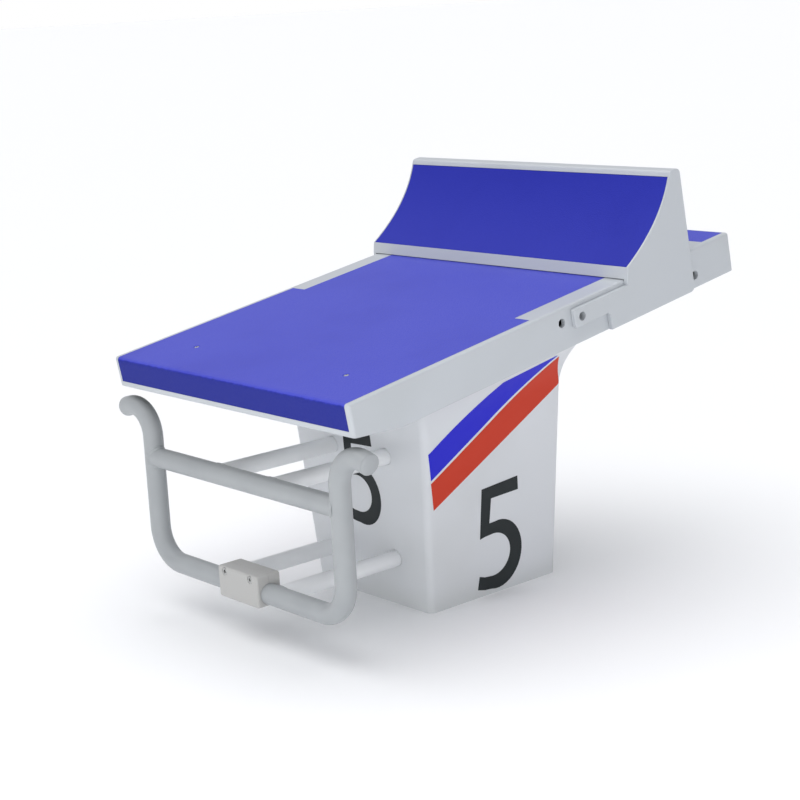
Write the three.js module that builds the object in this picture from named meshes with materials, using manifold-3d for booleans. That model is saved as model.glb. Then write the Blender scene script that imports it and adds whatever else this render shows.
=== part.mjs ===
// A swimming starting block: a moulded pedestal and a sloping moulded deck on a hidden steel frame,
// a footrest that slides to five places on the deck, and a tube frame in front to hold for a backstroke start.
// Lengths are millimetres. Z is up, X runs across the block and Y runs away from the pool.
// The origin lies on the floor under the middle of the pedestal's foot.
// Pieces of the deck are drawn in the deck's own slope: X across, Y back along the top face, Z square to it,
// from the middle of the deck's front top edge.

import * as THREE from 'three';
import { mergeVertices } from 'three/addons/utils/BufferGeometryUtils.js';
import Module from 'manifold-3d';

const wasm = await Module();
wasm.setup();

// Running fits and cuts
const seatGap = 0.3;
const slideGap = 0.4;
const overrun = 20;
const weld = 0.0001;

// Roundness, as counts
const tubeSides = 16;
const boltSides = 16;
const cornerSteps = 3;
const edgeSteps = 4;
const flareSteps = 6;
const curveSteps = 12;

// Deck
const deckWidth = 550;
const deckLength = 770;
const deckSlopeDegrees = 9.5;
const deckFrontHeight = 380;
const deckFrontReach = 379;
const deckWall = 7;
const deckSkirtDepth = 60.5;
const deckFrontDepth = 46;
const deckEdgeRadius = 4;
const deckCornerRadius = 5;
const deckRibThickness = 5;
const deckRibDepth = 18;
const deckRibPitch = 70;
const deckRibCount = 3;

// Non-slip sheet on the deck, folded down over its front edge
const treadThickness = 3;
const treadSideMargin = 9;
const treadRunnerMargin = 38;
const treadRearMargin = 5;
const treadNotchLead = 187.4;
const treadNotchRearMargin = 54;
const treadApronDepth = 37.5;
const treadEdgeRadius = 6;

// Pedestal
const footWidth = 258;
const footDepth = 260;
const footCornerRadius = 10;
const waistWidth = 302;
const waistFrontReach = 146;
const waistRearReach = 135;
const pedestalWall = 5;
const flareDrop = 110;
const flareFitGap = 0.5;
const flangeRise = 6;
const flangeCornerRadius = 8;
const leastShare = 0.05;

// Steel frame inside
const basePlateSize = 230;
const basePlateThickness = 10;
const anchorPlaceX = 55;
const anchorPlaceY = 88;
const anchorDiameter = 12;
const anchorHeadDiameter = 22;
const anchorHeadHeight = 8;
const anchorWasherDiameter = 28;
const anchorWasherThickness = 2.5;
const postCorner = 112;
const postLeg = 36;
const postThickness = 4;
const beamWidth = 40;
const beamDepth = 28;
const beamThickness = 4;
const beamLength = 392;
const bearerSpacing = 348.4;
const bearerFlange = 38;
const bearerDepth = 33;
const bearerThickness = 3;
const bearerFrontMargin = 45;
const bearerRearMargin = 25;

// Screws that hold the deck to its bearers
const deckScrewFront = 82;
const deckScrewRearMargin = 130;
const deckScrewHeadDiameter = 12;
const deckScrewHeadHeight = 2.5;
const deckScrewDiameter = 6;
const deckScrewReach = 12;
const deckScrewSink = 0.4;

// Grip frame
const gripReach = 357;
const gripTubeDiameter = 30;
const gripTubeWall = 2;
const gripLegSpacing = 440.5;
const gripBarHeight = 73.5;
const gripCrossbarDrop = 31;
const gripBendRadius = 50;
const gripTipRadius = 42;
const gripTipClearance = 16.1;
const gripTipDegrees = 105;
const gripTipStraight = 11;
const gripCapLength = 5;
const gripPlugLength = 9;
const gripPlugGap = 0.4;
const gripSteps = 8;
const supportDiameter = 25;
const supportWall = 2;
const supportSpacing = 122;
const supportHoleGap = 0.5;
const supportPlugLength = 26;
const supportPlateHeight = 56;
const supportPlateWidth = 212;
const supportPlateThickness = 8;
const supportBoltDiameter = 12;
const supportBoltHeadDiameter = 21;
const supportBoltHeadHeight = 7.5;
const supportBoltDepth = 20;

// Two-part block clamped on the middle of the grip frame's lowest bar
const clampWidth = 93;
const clampTop = 29;
const clampBottom = 18;
const clampDepth = 42;
const clampCornerRadius = 5;
const clampScrewSpacing = 60;
const clampScrewDiameter = 6;
const clampScrewHeadDiameter = 11;
const clampScrewHeadHeight = 5;

// Footrest, at the second of its five places
const footrestRearMargin = 99.6;
const footrestDepth = 142;
const footrestHeight = 128.5;
const footrestWall = 5;
const footrestLift = 1.2;
const footrestLipHeight = 18;
const footrestLipLean = 4.8;
const footrestCrownFall = 7.5;
const footrestCrownDepth = 24.9;
const footrestCrownRadius = 8;
const footrestCurveDepth = 88.6;
const footrestCurveRise = 60;
const footrestLedgeWidth = 34;
const footrestLedgeThickness = 5;
const footrestTreadThickness = 3;
const footrestTreadMargin = 3.5;
const cheekThickness = 7;
const cheekDepth = 60.5;
const cheekTopDepth = 7.3;
const cheekFrontReach = 43.2;
const cheekRearRadius = 9;
const cheekFrontSlant = 1;
const tongueReach = 115.4;
const tongueDepth = 34.5;
const glideThickness = 2.4;
const glideWidth = 26;
const glideEndMargin = 12;

// Places of the footrest, and the bar on each side that carries it inside the skirt
const indexPitch = 35;
const indexCount = 5;
const indexAtRest = 1;
const lockReach = 100.2;
const indexDepth = 21;
const indexHoleDiameter = 13;
const guideDepth = 41;
const guideReach = 1.5;
const guideSpacing = 50.5;
const guideBoltDiameter = 12.4;
const guideBoltHeadDiameter = 19;
const guideBoltHeadHeight = 6;
const guideBoltSeat = 4.5;
const guideSlotGap = 0.3;
const slideBarThickness = 8;
const slideBarTopDepth = 9;
const slideBarBottomDepth = 49.5;
const slideBarEndMargin = 20;
const slideBarFrontMargin = 11;
const lockDiameter = 12.4;
const lockLength = 26;
const lockNoseTaper = 1.2;
const lockCollarDiameter = 15.4;
const lockCollarLength = 5;
const lockSpringDiameter = 8;
const lockSpringDepth = 17;
const lockSpringRoom = 3;
const lockHousingDiameter = 22;
const lockHousingEnd = 3;

// Worked out from the sizes above
const slope = THREE.MathUtils.degToRad(deckSlopeDegrees);
const quarterTurn = Math.PI / 2;
const deckHalf = deckWidth / 2;
const skirtInside = deckHalf - deckWall;
const cheekInside = deckHalf + slideGap;
const cheekOutside = cheekInside + cheekThickness;
const footrestRear = deckLength - footrestRearMargin;
const footrestFront = footrestRear - footrestDepth;
const treadNotchStart = footrestFront - treadNotchLead;
const treadNotchEnd = deckLength - treadNotchRearMargin;
const deckScrewRear = deckLength - deckScrewRearMargin;
const bearerTop = -deckWall - seatGap;
const bearerBottom = bearerTop - bearerDepth;
const beamTop = bearerBottom - seatGap;
const beamBottom = beamTop - beamDepth;
const postTop = beamBottom - seatGap;
const slideBarOutside = skirtInside - slideGap;
const slideBarInside = slideBarOutside - slideBarThickness;
const lockPlace = footrestFront - lockReach;
const indexFirst = lockPlace - indexAtRest * indexPitch;
const guideFront = footrestFront - guideReach;
const lockTip = slideBarOutside - seatGap;
const guideRear = guideFront + guideSpacing;
const forwardTravel = indexAtRest * indexPitch;
const rearwardTravel = (indexCount - 1 - indexAtRest) * indexPitch;
const supportPlateFront = -postCorner - seatGap - supportPlateThickness;
const gripHalf = gripLegSpacing / 2;
const gripRadius = gripTubeDiameter / 2;
const frontUnderside = deckFrontHeight - deckFrontDepth * Math.cos(slope);
const gripTipStart = frontUnderside - gripTipClearance - gripRadius - gripTipRadius;
const gripCrossbarHeight = gripTipStart - gripCrossbarDrop;
const deckPlace = new THREE.Matrix4()
  .makeTranslation(0, -deckFrontReach, deckFrontHeight)
  .multiply(new THREE.Matrix4().makeRotationX(slope));

const paint = (color, roughness, metalness = 0) =>
  new THREE.MeshStandardMaterial({ color, roughness, metalness, flatShading: true });
const gelcoat = paint('#e6e9ec', 0.35);
const nonSlip = paint('#3d42c4', 0.75);
const whiteTube = paint('#dfe2e4', 0.4, 0.1);
const steel = paint('#9aa0a6', 0.4, 0.9);
const zinc = paint('#8c9196', 0.5, 0.8);
const polymer = paint('#d9dad6', 0.55);
const blackPolymer = paint('#1d1f22', 0.5);

// Turns a closed geometry into a solid that can be joined and cut
function solidOf(geometry) {
  geometry.deleteAttribute('normal');
  geometry.deleteAttribute('uv');
  const merged = mergeVertices(geometry, weld);
  return new wasm.Manifold(new wasm.Mesh({
    numProp: 3,
    vertProperties: new Float32Array(merged.attributes.position.array),
    triVerts: new Uint32Array(merged.index.array),
  }));
}

function geometryOf(solid) {
  const mesh = solid.getMesh();
  const geometry = new THREE.BufferGeometry();
  geometry.setAttribute('position', new THREE.BufferAttribute(mesh.vertProperties, 3));
  geometry.setIndex(new THREE.BufferAttribute(mesh.triVerts, 1));
  geometry.computeVertexNormals();
  return geometry;
}

function addPiece(group, name, solid, material) {
  const mesh = new THREE.Mesh(geometryOf(solid), material);
  mesh.name = name;
  group.add(mesh);
}

const cut = (solid, ...tools) => tools.reduce((left, tool) => left.subtract(tool), solid);
const join = (solid, ...others) => others.reduce((whole, other) => whole.add(other), solid);

function block(x0, x1, y0, y1, z0, z1) {
  const box = new THREE.BoxGeometry(x1 - x0, y1 - y0, z1 - z0);
  return solidOf(box.translate((x0 + x1) / 2, (y0 + y1) / 2, (z0 + z1) / 2));
}

// Round or six-sided bars along each axis, from one end to the other
function rodUp(radius, z0, z1, x, y, sides = boltSides) {
  const rod = new THREE.CylinderGeometry(radius, radius, z1 - z0, sides).rotateX(quarterTurn);
  return solidOf(rod.translate(x, y, (z0 + z1) / 2));
}

function rodBack(radius, y0, y1, x, z, sides = boltSides) {
  const rod = new THREE.CylinderGeometry(radius, radius, y1 - y0, sides);
  return solidOf(rod.translate(x, (y0 + y1) / 2, z));
}

function rodAcross(radius, x0, x1, y, z, sides = boltSides) {
  const rod = new THREE.CylinderGeometry(radius, radius, Math.abs(x1 - x0), sides).rotateZ(quarterTurn);
  return solidOf(rod.translate((x0 + x1) / 2, y, z));
}

// Prism across the block of an outline given as [back, up] points
function prismAcross(points, x0, x1) {
  const shape = new THREE.Shape(points.map(([back, up]) => new THREE.Vector2(back, up)));
  const prism = new THREE.ExtrudeGeometry(shape, { depth: x1 - x0, bevelEnabled: false });
  const across = new THREE.Matrix4().makeBasis(
    new THREE.Vector3(0, 1, 0), new THREE.Vector3(0, 0, 1), new THREE.Vector3(1, 0, 0));
  return solidOf(prism.applyMatrix4(across).translate(x0, 0, 0));
}

// Upright prism of an outline given as [x, y] points
function prismUp(points, z0, z1) {
  const shape = new THREE.Shape(points.map(([x, y]) => new THREE.Vector2(x, y)));
  const prism = new THREE.ExtrudeGeometry(shape, { depth: z1 - z0, bevelEnabled: false });
  return solidOf(prism.translate(0, 0, z0));
}

// Points of an arc about a centre, both ends included
function arc(centreA, centreB, radius, startDegrees, endDegrees, steps) {
  return Array.from({ length: steps + 1 }, (_, step) => {
    const angle = THREE.MathUtils.degToRad(THREE.MathUtils.lerp(startDegrees, endDegrees, step / steps));
    return [centreA + radius * Math.cos(angle), centreB + radius * Math.sin(angle)];
  });
}

// Skin through rings with the same number of points, each ring anticlockwise seen from its far end, ends closed
function loft(rings) {
  const count = rings[0].length;
  const points = rings.flat();
  const triangles = [];
  for (let ring = 0; ring < rings.length - 1; ring += 1) {
    for (let place = 0; place < count; place += 1) {
      const low = ring * count + place;
      const lowNext = ring * count + (place + 1) % count;
      triangles.push(low, lowNext, lowNext + count, low, lowNext + count, low + count);
    }
  }
  const middleOf = (ring) => ring.reduce((sum, point) => sum.add(point), new THREE.Vector3()).divideScalar(count);
  const start = points.length;
  const last = (rings.length - 1) * count;
  points.push(middleOf(rings[0]), middleOf(rings[rings.length - 1]));
  for (let place = 0; place < count; place += 1) {
    const next = (place + 1) % count;
    triangles.push(start, next, place, start + 1, last + place, last + next);
  }
  const geometry = new THREE.BufferGeometry().setFromPoints(points);
  geometry.setIndex(triangles);
  return solidOf(geometry);
}

// Rounded rectangle, anticlockwise from its front right corner, with extra points along both long sides
function roundedRing(half, front, rear, radius, sideShares, heightAt) {
  const corner = (x, y, startDegrees) =>
    arc(x, y, radius, startDegrees, startDegrees + 90, cornerSteps);
  const side = (x, shares) => shares.map((share) => [x, THREE.MathUtils.lerp(front, rear, share)]);
  return [
    ...corner(half - radius, front + radius, -90),
    ...side(half, sideShares),
    ...corner(half - radius, rear - radius, 0),
    ...corner(radius - half, rear - radius, 90),
    ...side(-half, [...sideShares].reverse()),
    ...corner(radius - half, front + radius, 180),
  ].map(([x, y]) => new THREE.Vector3(x, y, heightAt(y)));
}

// Height of the deck's underside above the floor: level near the front edge, then along the slope
const slopedUnderside = (y) =>
  deckFrontHeight + Math.tan(slope) * (y + deckFrontReach) - deckSkirtDepth / Math.cos(slope);
const underside = (y) => Math.max(frontUnderside, slopedUnderside(y));
const undersideBend = (deckSkirtDepth - deckFrontDepth) / Math.tan(slope);

// One wall surface of the pedestal, drawn inwards by the given thickness
function pedestalSkin(inset, foot, top) {
  const reach = skirtInside - flareFitGap - waistWidth / 2;
  const flangeFront = waistFrontReach + reach;
  const flangeRear = waistRearReach + reach;
  const bendPlace = undersideBend * Math.cos(slope) + deckSkirtDepth * Math.sin(slope) - deckFrontReach;
  const bendShare = Math.max((bendPlace + flangeFront) / (flangeRear + flangeFront), leastShare);
  const sideShares = [bendShare, 0.35, 0.6, 0.85];
  const ring = (spread, drop, radius) => roundedRing(
    waistWidth / 2 + spread, -waistFrontReach - spread, waistRearReach + spread,
    radius, sideShares, (y) => underside(y) - drop);
  const rings = [roundedRing(footWidth / 2 - inset, inset - footDepth / 2, footDepth / 2 - inset,
    footCornerRadius - inset, sideShares, () => foot)];
  for (let step = 0; step <= flareSteps; step += 1) {
    const angle = quarterTurn * step / flareSteps;
    const rise = flareDrop * Math.cos(angle);
    const run = reach * Math.sin(angle);
    const length = Math.hypot(rise, run);
    const spread = Math.min(reach * (1 - Math.cos(angle)) - inset * rise / length, reach - inset);
    const drop = flareDrop * (1 - Math.sin(angle)) - inset * run / length;
    const radius = THREE.MathUtils.lerp(footCornerRadius, flangeCornerRadius, step / flareSteps) - inset;
    rings.push(ring(spread, drop, radius));
  }
  rings.push(ring(reach - inset, -top, flangeCornerRadius - inset));
  return loft(rings);
}

const supportPlaces = [
  ['upper_left', -1, gripCrossbarHeight], ['upper_right', 1, gripCrossbarHeight],
  ['lower_left', -1, gripBarHeight], ['lower_right', 1, gripBarHeight],
];
const supportX = supportSpacing / 2;

function pedestalShell() {
  const shell = cut(pedestalSkin(0, 0, flangeRise), pedestalSkin(pedestalWall, -overrun, flangeRise + overrun));
  const holes = supportPlaces.map(([, side, height]) => rodBack(
    supportDiameter / 2 + supportHoleGap, -waistFrontReach - overrun, -postCorner,
    side * supportX, height, tubeSides));
  return cut(shell, ...holes);
}

// Outline of the folded non-slip sheet, or of the recess that takes it when grown by a gap
function treadOutline(grow) {
  const skin = treadThickness + grow;
  const outer = grow > 0
    ? [[-overrun, -treadApronDepth - grow], [-overrun, overrun], [deckLength - treadRearMargin + grow, overrun]]
    : [[0, -treadApronDepth], ...arc(treadEdgeRadius, -treadEdgeRadius, treadEdgeRadius, 180, 90, edgeSteps),
      [deckLength - treadRearMargin, 0]];
  return [
    ...outer,
    [deckLength - treadRearMargin + grow, -skin],
    ...arc(treadEdgeRadius, -treadEdgeRadius, treadEdgeRadius - skin, 90, 180, edgeSteps),
    [skin, -treadApronDepth - grow],
  ];
}

function treadBody(grow) {
  const half = deckHalf - treadSideMargin + grow;
  const notchInside = deckHalf - treadRunnerMargin + grow;
  const sheet = prismAcross(treadOutline(grow), -half, half);
  const notches = [-1, 1].map((side) => block(
    side < 0 ? -deckHalf - overrun : notchInside, side < 0 ? -notchInside : deckHalf + overrun,
    treadNotchStart + grow, treadNotchEnd - grow, -deckWall, overrun + seatGap));
  return cut(sheet, ...notches);
}

const deckScrewPlaces = [
  ['front_left', -1, deckScrewFront], ['front_right', 1, deckScrewFront],
  ['rear_left', -1, deckScrewRear], ['rear_right', 1, deckScrewRear],
];
const deckScrewX = bearerSpacing / 2;

function deckTread() {
  const holes = deckScrewPlaces.map(([, side, place]) => rodUp(
    deckScrewHeadDiameter / 2 + seatGap, -deckWall, overrun, side * deckScrewX, place));
  return cut(treadBody(0), ...holes);
}

// Tray with rounded top edges, open below, whose skirt is shallow at the front
function deckShell() {
  const tray = [];
  const flat = (height) => () => height;
  tray.push(roundedRing(deckHalf, 0, deckLength, deckCornerRadius, [], flat(-deckSkirtDepth - overrun)));
  for (let step = 0; step <= edgeSteps; step += 1) {
    const angle = quarterTurn * step / edgeSteps;
    const draw = deckEdgeRadius * (1 - Math.cos(angle));
    tray.push(roundedRing(deckHalf - draw, draw, deckLength - draw, deckCornerRadius - draw, [],
      flat(-deckEdgeRadius * (1 - Math.sin(angle)))));
  }
  const side = [[0, overrun], [0, -deckFrontDepth], [undersideBend, -deckSkirtDepth],
    [deckLength, -deckSkirtDepth], [deckLength, overrun]];
  const outer = loft(tray).intersect(prismAcross(side, -deckWidth, deckWidth));
  const inner = block(-skirtInside, skirtInside, deckWall, deckLength - deckWall,
    -deckSkirtDepth - overrun, -deckWall);
  const ribs = Array.from({ length: deckRibCount }, (_, place) => {
    const middle = (place - (deckRibCount - 1) / 2) * deckRibPitch;
    return block(middle - deckRibThickness / 2, middle + deckRibThickness / 2,
      deckWall / 2, deckLength - deckWall / 2, -deckWall - deckRibDepth, -deckWall + treadThickness / 2);
  });
  const shell = join(cut(outer, inner), ...ribs);
  const screwHoles = deckScrewPlaces.map(([, side2, place]) => rodUp(
    deckScrewDiameter / 2 + seatGap, -deckWall - overrun / 2, overrun, side2 * deckScrewX, place));
  return cut(shell, treadBody(seatGap), ...screwHoles, ...skirtCuts());
}

// Index holes and guide slots through both skirts
function skirtCuts() {
  const cuts = [];
  for (const side of [-1, 1]) {
    const near = side < 0 ? -deckHalf - deckWall : skirtInside - deckWall;
    const far = near + deckWall * 3;
    for (let place = 0; place < indexCount; place += 1) {
      cuts.push(rodAcross(indexHoleDiameter / 2, near, far, indexFirst + place * indexPitch, -indexDepth));
    }
    const radius = guideBoltDiameter / 2 + guideSlotGap;
    const start = guideFront - forwardTravel;
    const end = guideRear + rearwardTravel;
    cuts.push(prismAcross([
      ...arc(end, -guideDepth, radius, -90, 90, boltSides / 2),
      ...arc(start, -guideDepth, radius, 90, 270, boltSides / 2),
    ], near, far));
  }
  return cuts;
}

function deckScrew(side, place) {
  const x = side * deckScrewX;
  const top = -deckScrewSink;
  const headBottom = Math.max(top - deckScrewHeadHeight, -treadThickness + deckScrewSink / 2);
  const head = rodUp(deckScrewHeadDiameter / 2, headBottom, top, x, place);
  const shank = rodUp(deckScrewDiameter / 2, bearerTop - deckScrewReach, top - deckScrewSink, x, place);
  return join(head, shank);
}

// Channel under the deck on one side, open outwards, drilled for the deck screws
function bearer(side) {
  const web = deckScrewX - bearerFlange / 2;
  const outside = deckScrewX + bearerFlange / 2;
  const front = bearerFrontMargin;
  const rear = deckLength - bearerRearMargin;
  const whole = block(web, outside, front, rear, bearerBottom, bearerTop);
  const hollow = block(web + bearerThickness, outside + overrun, front - overrun, rear + overrun,
    bearerBottom + bearerThickness, bearerTop - bearerThickness);
  const holes = [deckScrewFront, deckScrewRear].map((place) => rodUp(
    deckScrewDiameter / 2 + seatGap, bearerTop - bearerThickness * 2, overrun, deckScrewX, place));
  const channel = cut(whole, hollow, ...holes);
  return side < 0 ? channel.mirror([1, 0, 0]) : channel;
}

// Place along the slope of a piece that stands over a given place on the floor, at a given depth under the deck
const alongSlope = (y, height) => (y + deckFrontReach + height * Math.sin(slope)) / Math.cos(slope);

// Channel across the posts, open below
function crossBeam(direction) {
  const middle = alongSlope(direction * (postCorner - postLeg / 2), beamBottom);
  const whole = block(-beamLength / 2, beamLength / 2, middle - beamWidth / 2, middle + beamWidth / 2,
    beamBottom, beamTop);
  const hollow = block(-beamLength, beamLength, middle - beamWidth / 2 + beamThickness,
    middle + beamWidth / 2 - beamThickness, beamBottom - overrun, beamTop - beamThickness);
  return cut(whole, hollow);
}

const anchorPlaces = [
  ['front_left', -1, -1], ['front_right', 1, -1], ['rear_left', -1, 1], ['rear_right', 1, 1],
];

function basePlate() {
  const half = basePlateSize / 2;
  const holes = anchorPlaces.map(([, sideX, sideY]) => rodUp(
    anchorDiameter / 2 + seatGap, -overrun, overrun, sideX * anchorPlaceX, sideY * anchorPlaceY));
  return cut(block(-half, half, -half, half, 0, basePlateThickness), ...holes);
}

function anchorBolt(sideX, sideY) {
  const x = sideX * anchorPlaceX;
  const y = sideY * anchorPlaceY;
  const washerFoot = basePlateThickness + seatGap;
  const headFoot = washerFoot + anchorWasherThickness;
  return join(
    rodUp(anchorDiameter / 2, seatGap, headFoot, x, y),
    rodUp(anchorWasherDiameter / 2, washerFoot, headFoot, x, y),
    rodUp(anchorHeadDiameter / 2, headFoot - seatGap, headFoot + anchorHeadHeight, x, y, 6));
}

// Angle-section post, its corner outwards, its top cut to the slope of the beam on it
function post(sideX, sideY) {
  const outer = postCorner;
  const inner = postCorner - postLeg;
  const face = postCorner - postThickness;
  const outline = [[inner, face], [face, face], [face, inner], [outer, inner], [outer, outer], [inner, outer]];
  const foot = basePlateThickness + seatGap;
  const bar = prismUp(outline, foot, deckFrontHeight + deckSkirtDepth);
  const sideways = sideX < 0 ? bar.mirror([1, 0, 0]) : bar;
  const placed = sideY < 0 ? sideways.mirror([0, 1, 0]) : sideways;
  const above = solidOf(new THREE.BoxGeometry(deckWidth, deckLength * 2, deckLength)
    .translate(0, deckLength / 2, deckLength / 2 + postTop).applyMatrix4(deckPlace));
  return cut(placed, above);
}

// Tube along stations in the grip frame's upright plane, each station a centre and a heading
function gripSweep(stations, radius) {
  return loft(stations.map(({ x, z, heading }) => Array.from({ length: tubeSides }, (_, side) => {
    const angle = quarterTurn * 4 * side / tubeSides;
    const sideways = radius * Math.cos(angle);
    return new THREE.Vector3(
      x - sideways * Math.sin(heading), -gripReach - radius * Math.sin(angle), z + sideways * Math.cos(heading));
  })));
}

// Right half of the frame's centre line, from the middle of the lowest bar to the tip, with headings in radians
function gripHalfPath() {
  const bendCentre = gripBarHeight + gripBendRadius;
  const bend = arc(gripHalf - gripBendRadius, bendCentre, gripBendRadius, -90, 0, gripSteps - 2)
    .map(([x, z], step) => ({ x, z, heading: quarterTurn * step / (gripSteps - 2) }));
  const tip = arc(gripHalf + gripTipRadius, gripTipStart, gripTipRadius, 180, 180 - gripTipDegrees, gripSteps)
    .map(([x, z], step) => ({
      x, z, heading: quarterTurn - THREE.MathUtils.degToRad(gripTipDegrees) * step / gripSteps,
    }));
  const last = tip[tip.length - 1];
  const end = {
    x: last.x + gripTipStraight * Math.cos(last.heading),
    z: last.z + gripTipStraight * Math.sin(last.heading),
    heading: last.heading,
  };
  return [...bend, ...tip, end];
}

function gripTube() {
  const right = gripHalfPath();
  const left = [...right].reverse().map(({ x, z, heading }) => ({ x: -x, z, heading: -heading }));
  const path = [...left, ...right];
  const end = path[path.length - 1];
  const beyond = (station, sign) => ({
    x: station.x + sign * overrun * Math.cos(station.heading),
    z: station.z + sign * overrun * Math.sin(station.heading),
    heading: station.heading,
  });
  const bore = [beyond(path[0], -1), ...path, beyond(end, 1)];
  return cut(gripSweep(path, gripRadius), gripSweep(bore, gripRadius - gripTubeWall));
}

// Domed cap whose plug sits in the bore of a tip
function gripCap(side) {
  const radius = gripRadius;
  const plug = radius - gripTubeWall - gripPlugGap;
  const dome = arc(0, seatGap, 1, 0, 90, edgeSteps)
    .map(([across, up]) => new THREE.Vector2(radius * across, seatGap + (up - seatGap) * gripCapLength));
  dome[dome.length - 1].x = 0;
  const outline = [new THREE.Vector2(0, -gripPlugLength), new THREE.Vector2(plug, -gripPlugLength),
    new THREE.Vector2(plug, seatGap), ...dome];
  const end = gripHalfPath().pop();
  const cap = new THREE.LatheGeometry(outline, tubeSides);
  const heading = end.heading;
  const turn = new THREE.Matrix4().makeBasis(
    new THREE.Vector3(0, 1, 0),
    new THREE.Vector3(Math.cos(heading), 0, Math.sin(heading)),
    new THREE.Vector3(Math.sin(heading), 0, -Math.cos(heading)));
  const right = solidOf(cap.applyMatrix4(turn).translate(end.x, -gripReach, end.z));
  return side < 0 ? right.mirror([1, 0, 0]) : right;
}

function gripCrossbar() {
  const legs = [-1, 1].map((side) => rodUp(
    gripRadius + seatGap, -overrun, deckFrontHeight, side * gripHalf, -gripReach, tubeSides));
  const bar = rodAcross(gripRadius, -gripHalf, gripHalf, -gripReach, gripCrossbarHeight, tubeSides);
  const bore = rodAcross(gripRadius - gripTubeWall, -gripHalf - overrun, gripHalf + overrun, -gripReach,
    gripCrossbarHeight, tubeSides);
  return cut(bar, bore, ...legs).decompose().sort((a, b) => b.volume() - a.volume())[0];
}

// Tube from the grip frame back to the steel frame, its front end shaped to the bar and its rear end plugged
function gripSupport(side, height) {
  const x = side * supportX;
  const rear = supportPlateFront - seatGap;
  const radius = supportDiameter / 2;
  const bar = rodAcross(gripRadius + seatGap, -gripHalf, gripHalf, -gripReach, height, tubeSides);
  return cut(
    rodBack(radius, -gripReach, rear, x, height, tubeSides),
    bar,
    rodBack(radius - supportWall, -gripReach - overrun, rear - supportPlugLength, x, height, tubeSides),
    rodBack(supportBoltDiameter / 2 + seatGap, rear - supportBoltDepth, rear + overrun, x, height));
}

function supportPlate(height) {
  const rear = -postCorner - seatGap;
  const plate = block(-supportPlateWidth / 2, supportPlateWidth / 2, supportPlateFront, rear,
    height - supportPlateHeight / 2, height + supportPlateHeight / 2);
  const holes = [-1, 1].map((side) => rodBack(
    supportBoltDiameter / 2 + seatGap, supportPlateFront - overrun, rear + overrun, side * supportX, height));
  return cut(plate, ...holes);
}

function supportBolt(side, height) {
  const x = side * supportX;
  const headFront = -postCorner;
  const tip = supportPlateFront - supportBoltDepth;
  return join(
    rodBack(supportBoltDiameter / 2, tip, headFront + seatGap, x, height),
    rodBack(supportBoltHeadDiameter / 2, headFront, headFront + supportBoltHeadHeight, x, height, 6));
}

// Half of the clamp block, in front of the bar (-1) or behind it (1)
function clampHalf(direction) {
  const half = clampDepth / 2;
  const top = gripBarHeight + clampTop;
  const bottom = gripBarHeight - clampBottom;
  const radius = clampCornerRadius;
  const outline = [
    [seatGap / 2, bottom], ...arc(half - radius, bottom + radius, radius, -90, 0, cornerSteps),
    ...arc(half - radius, top - radius, radius, 0, 90, cornerSteps), [seatGap / 2, top],
  ];
  const body = prismAcross(outline, -clampWidth / 2, clampWidth / 2);
  const faced = (direction < 0 ? body.mirror([0, 1, 0]) : body).translate([0, -gripReach, 0]);
  const bore = rodAcross(gripRadius + seatGap, -clampWidth, clampWidth, -gripReach, gripBarHeight, tubeSides);
  const screws = [-1, 1].flatMap((side) => [
    rodBack(clampScrewDiameter / 2 + seatGap, -gripReach - clampDepth, -gripReach + clampDepth / 3,
      side * clampScrewSpacing / 2, clampScrewHeight()),
    rodBack(clampScrewHeadDiameter / 2 + seatGap, -gripReach - clampDepth,
      -gripReach - half + clampScrewHeadHeight + seatGap, side * clampScrewSpacing / 2, clampScrewHeight()),
  ]);
  return cut(faced, bore, ...screws);
}

const clampScrewHeight = () => gripBarHeight + (gripRadius + clampTop) / 2;

function clampScrew(side) {
  const x = side * clampScrewSpacing / 2;
  const face = -gripReach - clampDepth / 2;
  return join(
    rodBack(clampScrewHeadDiameter / 2, face + seatGap, face + clampScrewHeadHeight, x, clampScrewHeight()),
    rodBack(clampScrewDiameter / 2, face + clampScrewHeadHeight / 2, -gripReach + clampDepth / 3 - seatGap,
      x, clampScrewHeight()));
}

// Curved face of the footrest as [back, up] points, sunk below the surface by the given depth
function footrestCurve(sink) {
  const lip = new THREE.Vector2(footrestFront + footrestLipLean, footrestLipHeight);
  const bend = new THREE.Vector2(footrestFront + footrestCurveDepth, footrestCurveRise);
  const crown = new THREE.Vector2(footrestRear - footrestCrownDepth, footrestHeight - footrestCrownFall);
  const curve = new THREE.QuadraticBezierCurve(lip, bend, crown);
  return Array.from({ length: curveSteps + 1 }, (_, step) => {
    const point = curve.getPoint(step / curveSteps);
    const along = curve.getTangent(step / curveSteps);
    return [point.x + sink * along.y, point.y - sink * along.x];
  });
}

function footrestOutline() {
  const radius = footrestCrownRadius;
  return [
    [footrestFront, footrestLift],
    ...footrestCurve(0),
    [footrestRear - footrestCrownDepth + footrestCrownFall / 2, footrestHeight],
    ...arc(footrestRear - radius, footrestHeight - radius, radius, 90, 0, edgeSteps),
    [footrestRear, footrestLift],
  ];
}

// Space inside the footrest, one wall in from its outside and open below
function footrestHollow(half, foot) {
  const sunk = footrestCurve(footrestTreadThickness + footrestWall);
  const front = footrestFront + footrestWall + footrestTreadThickness;
  const roof = footrestHeight - footrestWall;
  const rear = footrestRear - footrestWall;
  const curve = sunk.filter(([back, up]) => back > front && up > foot && up < roof && back < rear);
  return prismAcross([
    [front, foot], [front, Math.min(curve[0][1], footrestLipHeight)], ...curve, [curve[curve.length - 1][0], roof],
    [rear, roof], [rear, foot],
  ], -half, half);
}

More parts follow.
